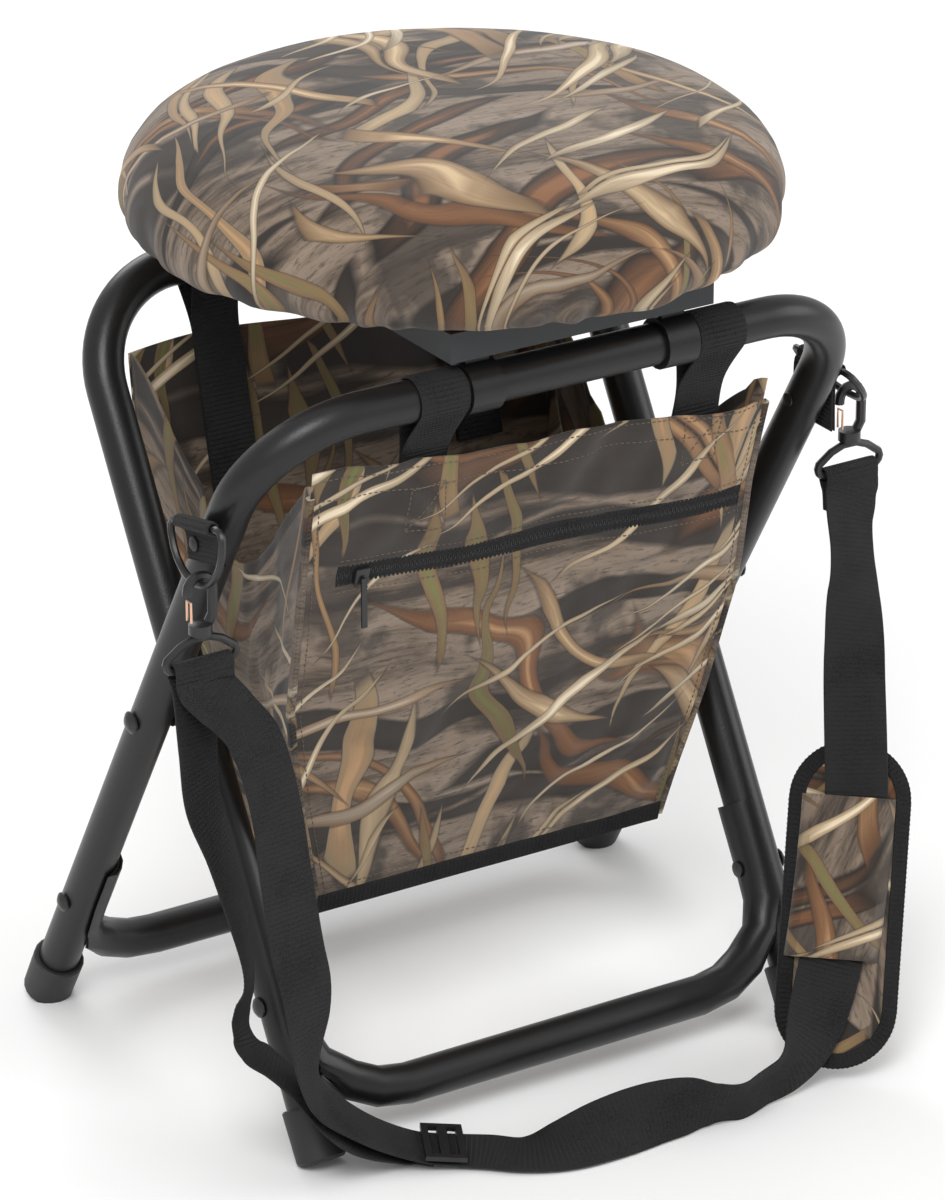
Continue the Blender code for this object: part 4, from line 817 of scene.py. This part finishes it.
def slack(x, z):
    """How far the front panel stands out of its plane: soft folds, flat at zip and seams."""
    left, right = x + edge_x(LEFT_EDGE, z), edge_x(RIGHT_EDGE, z) - x
    free = (1 - near(left, 0.022)) * (1 - near(right, 0.022)) * (1 - 0.9 * near(z - zip_z(x), 0.024))
    free *= 1 - near(z - 0.103, 0.030)
    drape = 0.0065 * (0.5 + noise.noise(Vector((x * 8 + z * 5, z * 6, 1.3))))
    drag = 0.0046 * noise.noise(Vector(((x + z * 0.8) * 26, z * 9, 5.2)))
    drag += 0.0036 * noise.noise(Vector(((x - z * 0.7) * 34, z * 12, 8.9)))
    crumple = 0.0009 * noise.noise(Vector((x * 75, z * 75, 3.1)))
    hem = 0.0005 if z > top_z(x) - 0.017 else 0.0
    return max(0.0, free * (drape + drag + crumple)) + hem


def top_z(x):
    """Height of the front panel's top edge at x."""
    return 0.3762 - 0.054 * x + 0.0016 * sin(x * 42)


def front_point(x, z, lift=0.0):
    """A point on the front panel's cloth, or lift outside it."""
    return Vector((x, -panel_y(z), z)) + PANEL_OUT * (slack(x, z) + lift)


def bag(looks):
    """The five cloths between the frames, with the front's stitching, piping and binding."""
    def front(u, v):
        z = 0.1025 - 0.02 * (u - 0.5) * 0.22 + v * (top_z((u - 0.5) * 0.28) - 0.1025)
        left, right = -edge_x(LEFT_EDGE, z), edge_x(RIGHT_EDGE, z)
        return front_point(left + (right - left) * u, z)

    def sewn(row, pitch=STITCH_PITCH):
        """A row of stitches over the front panel; row(t) gives x and z."""
        return run_of(lambda t: (front_point(*row(t), 0.0006), PANEL_OUT), pitch)

    def seam(keys, side):
        """A row of stitches beside an edge of the front panel."""
        low, high, inset = 0.110, 0.368, 0.0055

        def row(t):
            z = low + (high - low) * t
            return side * (edge_x(keys, z) - inset), z

        return sewn(row)

    rows = []
    for drop in (0.0035, 0.0150):
        rows += sewn(lambda t: (-0.142 + 0.270 * t, top_z(-0.142 + 0.270 * t) - drop))
    rows += seam(LEFT_EDGE, -1) + seam(RIGHT_EDGE, 1)
    rows += sewn(lambda t: (-0.106 + 0.212 * t, 0.117))
    for away in (-0.0095, 0.0095):
        rows += sewn(lambda t: (-ZIP_HALF + 2 * ZIP_HALF * t, zip_z(-ZIP_HALF + 2 * ZIP_HALF * t) + away))
    reach, low, high = 0.011, 0.340, 0.366
    box = ((-reach, low), (reach, low), (reach, high), (-reach, high), (-reach, low), (reach, high))
    for loop in LOOPS[:2]:
        middle = loop[1]
        for (a, b), (c, d) in zip(box, box[1:]):
            rows += sewn(lambda t: (middle + a + (c - a) * t, b + (d - b) * t), 0.0032)
    stitching = dashes("bag_stitching", rows, 0.0023, 0.0006, 0.0005, looks["thread"], body="outer_frame")

    pieces = [stitching]
    for keys, side, label in ((LEFT_EDGE, -1, "left"), (RIGHT_EDGE, 1, "right")):
        heights = [0.104 + (0.264 - 0.004 * side) * i / 16 for i in range(17)]
        track = [(front_point(side * edge_x(keys, z), z, -0.0004), X) for z in heights]
        pieces.append(ribbon(f"bag_piping_{label}", track, 0.0046, looks["bag_dark"], 0.0034,
                             body="outer_frame"))
    track = []
    for i in range(13):
        track.append((front_point(-0.109 + 0.219 * i / 12, 0.1075 - 0.0006 * i / 12, 0.0010), PANEL_UP))
    pieces.append(ribbon("bag_bottom_binding", track, 0.0120, looks["binding"], 0.0012, body="outer_frame"))
    fabric("bag_front_cloth", front, (0.272, 0.282), looks["bag"], "hung", ["outer_frame_tube_round"], pieces,
           body="outer_frame", replaced=["bag_front_panel"], record_slot="bag_fabric")

    def back(u, v):
        z = 0.104 + v * (0.374 - 0.104) + 0.003 * v * sin(u * 9)
        x = (2 * u - 1) * edge_x(BACK_EDGE, z)
        free = (1 - near(abs(x) - edge_x(BACK_EDGE, z), 0.02)) * (1 - near(z - 0.378, 0.10))
        fold = 0.006 * noise.noise(Vector((x * 11, z * 8, 21.0)))
        fold += 0.002 * noise.noise(Vector((x * 40, z * 24, 2.0)))
        return Vector((x, panel_y(z) + free * abs(fold), z))

    hanging = [fabric("bag_back_cloth", back, (0.262, 0.280), looks["bag"], "hung",
                      ["inner_frame_tube_round"], replaced=["bag_back_panel"], record_slot="bag_fabric")]
    for side, label, keys in ((-1, "left", LEFT_EDGE), (1, "right", RIGHT_EDGE)):
        def gusset(u, v):
            across = 2 * u - 1
            top = 0.374 - 0.080 * cos(across * pi / 2) ** 1.5 + (0.004 if u < 0.05 else 0)
            z = 0.106 + v * (top - 0.106)
            x = edge_x(keys, z) + (edge_x(BACK_EDGE, z) - edge_x(keys, z)) * u
            middle = cos(across * pi / 2)
            tuck = middle * (0.011 + 0.005 * noise.noise(Vector((u * 6, z * 16, 3.0 + side)))
                             + 0.0022 * noise.noise(Vector((u * 18 + z * 20, z * 30, 7.0))))
            return Vector((side * (x - 0.001 - max(0.0, tuck)), across * (panel_y(z) - 0.0008), z))

        hanging.append(fabric(f"bag_gusset_cloth_{label}", gusset, (0.150, 0.232), looks["bag"], "hung",
                              ["outer_frame_tube_round", "inner_frame_tube_round"],
                              replaced=[f"bag_gusset_{label}"], record_slot="bag_fabric"))
    for cloth in hanging:
        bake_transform(cloth)

    def floor(u, v):
        x, y = (2 * u - 1) * 0.107, (2 * v - 1) * 0.0435
        droop = 0.004 * sin(pi * u) ** 0.5 * sin(pi * v) ** 0.5 if 0 < u < 1 and 0 < v < 1 else 0.0
        return Vector((x, y, 0.1065 - droop + 0.001 * noise.noise(Vector((x * 30, y * 30, 4.0)))))

    fabric("bag_floor_cloth", floor, (0.214, 0.087), looks["bag"], "hung", ["bag_front_cloth"],
           body="outer_frame", replaced=["bag_bottom"], record_slot="bag_fabric")


def zipper(looks):
    """Two tapes sewn to the panel, and the coil's teeth between them."""
    for way, label in ((1, "upper"), (-1, "lower")):
        track = []
        for i in range(41):
            x = -ZIP_HALF + 2 * ZIP_HALF * i / 40
            track.append((front_point(x, zip_z(x) + way * 0.0036, 0.0007), PANEL_UP))
        ribbon(f"zip_tape_{label}", track, 0.0056, looks["tape"], 0.0006, body="outer_frame",
               replaced=["zipper_tape"] if way == 1 else [], record_slot="zip_tape")
    teeth = []
    for i in range(ZIP_TEETH):
        x = -ZIP_HALF + 2 * ZIP_HALF * (i + 0.5) / ZIP_TEETH
        z = zip_z(x) + (0.0005 if i % 2 else -0.0005)
        teeth.append((front_point(x, z, 0.0006), PANEL_UP, PANEL_OUT))
    dashes("zip_coil", teeth, 0.0034, 0.0010, 0.0011, looks["plastic"], body="outer_frame")


def loops_and_tabs(looks):
    """Webbing folded over the frames' tops, and through the D-rings beside them."""
    for name, middle, side, low in LOOPS:
        inner = PANEL + GAP + WEB / 2 + 0.0002

        def tail(z, layer):
            return Vector((middle, side * (panel_y(z) - inner - layer * (WEB + GAP)), z))

        over = arc(Vector((middle, side * TOP_Y, TOP_Z)), Y * side, Z, TUBE_R + GAP + WEB / 2, -36, 192, 14)
        points = [tail(low, 0), tail(BAG_TOP - 0.02, 0), tail(BAG_TOP + 0.006, 0)] + over
        points += [tail(BAG_TOP + 0.006, 1), tail(BAG_TOP - 0.02, 1), tail(low, 1)]
        body = "outer_frame" if side < 0 else "inner_frame"
        loop = ribbon(f"{name}_webbing", [(p, X) for p in points], LOOP_WIDTH, looks["webbing"], 0.0013,
                      body=body, replaced=[name], record_slot="webbing")
    for side, label, ring_y, lean, length in ((-1, "left", -0.082, radians(12), 0.0205),
                                              (1, "right", -0.066, 0.0, 0.034)):
        centre = Vector((side * 0.198, ring_y, 0.3595))
        along, up = Vector((0, cos(lean), -sin(lean))), Vector((0, sin(lean), cos(lean)))
        inner_x = side * (OUTER_HALF_X + TUBE_R + GAP + WEB / 2) - centre.x
        outer_x = inner_x + side * (WEB + GAP)
        points = [centre + X * inner_x - up * depth for depth in (length, 0.006)]
        points += arc(centre, -X * side, up, 0.002 + GAP + WEB / 2, -30, 210, 8)
        points += [centre + X * outer_x - up * depth for depth in (0.006, length)]
        tab = ribbon(f"dring_tab_{label}_webbing", [(p, along) for p in points], TAB_WIDTH,
                     looks["webbing"], 0.0013, body="outer_frame", replaced=[f"dring_tab_{label}"],
                     record_slot="webbing")
        # The screw goes through the middle of the leg.
        screw_y = -(TOP_Y - (TOP_Z - SCREW_Z) * (TOP_Y + FOOT_Y) / TOP_Z)
        bpy.ops.mesh.primitive_cylinder_add(radius=0.0023, depth=0.02, vertices=24, rotation=(0, pi / 2, 0),
                                            location=Vector((side * 0.195, screw_y, SCREW_Z)) + MIDDLE)
        punch = bpy.context.object
        hole = tab.modifiers.new("hole", "BOOLEAN")
        hole.operation = "DIFFERENCE"
        hole.solver = "EXACT"
        hole.use_self = True
        hole.object = punch
        apply_modifiers(tab)
        bpy.data.objects.remove(punch)


# ---------------------------------------------------------------- seat
SEAT_X = 0.006
# (radius, height) over the padded seat's skin, round the board's edge and in over the board.
CUSHION_PROFILE = (
    (0, 0.5258), (0.045, 0.5256), (0.085, 0.5245), (0.115, 0.5220), (0.1350, 0.5180), (0.1510, 0.5120),
    (0.1630, 0.5030), (0.1702, 0.4925), (0.1736, 0.4815), (0.1734, 0.4710), (0.1700, 0.4630),
    (0.1640, 0.4580), (0.1575, 0.4575), (0.1563, 0.4640), (0.1563, 0.4702), (0.100, 0.4702), (0, 0.4702),
)


def seat_cushion(looks):
    """The padded top: its profile turned round the seat's middle, creased and smoothed."""
    bm = bmesh.new()
    steps = 72
    centre = Vector((SEAT_X, 0, 0))
    rows = []
    for radius, height in CUSHION_PROFILE:
        turns = [0] if radius == 0 else [2 * pi * i / steps for i in range(steps)]
        ring = [centre + Vector((radius * cos(a), radius * sin(a), height)) for a in turns]
        rows.append([bm.verts.new(point) for point in ring])
    for low, high in zip(rows, rows[1:]):
        for i in range(steps):
            j = (i + 1) % steps
            corners = [low[i % len(low)], low[j % len(low)], high[j % len(high)], high[i % len(high)]]
            bm.faces.new(dict.fromkeys(corners))
    seat = mesh_object("seat_cover", bm, looks["seat"])
    remesh = seat.modifiers.new("remesh", "REMESH")
    remesh.mode = "VOXEL"
    remesh.voxel_size = 0.0035
    apply_modifiers(seat)
    crease(seat)
    fabric_uv(seat)
    seat.modifiers.new("smooth", "SUBSURF").levels = 1
    apply_modifiers(seat)
    seat.data.shade_smooth()
    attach(seat, "seat_top")
    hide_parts("seat_cushion")


def apply_modifiers(obj):
    """Bake an object's modifiers into its mesh."""
    graph = bpy.context.evaluated_depsgraph_get()
    baked = bpy.data.meshes.new_from_object(obj.evaluated_get(graph))
    materials = [slot.material for slot in obj.material_slots]
    obj.modifiers.clear()
    obj.data = baked
    for i, material in enumerate(materials):
        if i < len(baked.materials):
            baked.materials[i] = material
        else:
            baked.materials.append(material)


def crease(obj):
    """Gathers round the lower edge, and soft dimples over the top."""
    for vertex in obj.data.vertices:
        x, y, z = vertex.co.x - SEAT_X - MIDDLE.x, vertex.co.y, vertex.co.z
        radius, turn = hypot(x, y), atan2(y, x)
        if radius < 0.12 and z < 0.475:
            continue
        low = max(0.0, min(1.0, (0.492 - z) / 0.03)) * max(0.0, min(1.0, (radius - 0.145) / 0.01))
        wander = noise.noise(Vector((cos(turn) * 2.2, sin(turn) * 2.2, 4.1)))
        gather = sin(turn * 38 + wander * 9) * 0.0011 + sin(turn * 17 + wander * 14) * 0.0016
        out = Vector((x, y, 0)) / max(radius, 1e-6)
        vertex.co += out * (gather * low)
        vertex.co.z += 0.0025 * low * noise.noise(Vector((cos(turn) * 5, sin(turn) * 5, 9.0)))
        dent = noise.noise(Vector((x * 14, y * 14, 2.0))) + 0.5 * noise.noise(Vector((x * 40, y * 26, 7.0)))
        high = max(0.0, min(1.0, (z - 0.49) / 0.02))
        vertex.co.z += dent * 0.0009 * high


def fabric_uv(obj):
    """Unroll the cover from its middle outwards, so the print runs over the edge unbroken."""
    layer = obj.data.uv_layers.new(name="fabric")
    top = max(v.co.z for v in obj.data.vertices)
    for loop in obj.data.loops:
        co = obj.data.vertices[loop.vertex_index].co
        x, y = co.x - SEAT_X - MIDDLE.x, co.y
        radius = max(hypot(x, y), 1e-6)
        stretch = (radius + 0.8 * max(0.0, top - 0.006 - co.z)) / radius if radius > 0.1 else 1.0
        layer.data[loop.index].uv = (x * stretch, y * stretch)


add_camera()
add_studio()
looks = make_materials()
dress_frame(looks)
smooth_cad()
frame_tube("outer_frame_tube", OUTER_HALF_X, -1, "outer_frame", looks)
frame_tube("inner_frame_tube", INNER_HALF_X, 1, "inner_frame", looks)
straps(looks, shoulder_pad(looks))
bag(looks)
zipper(looks)
loops_and_tabs(looks)
seat_cushion(looks)
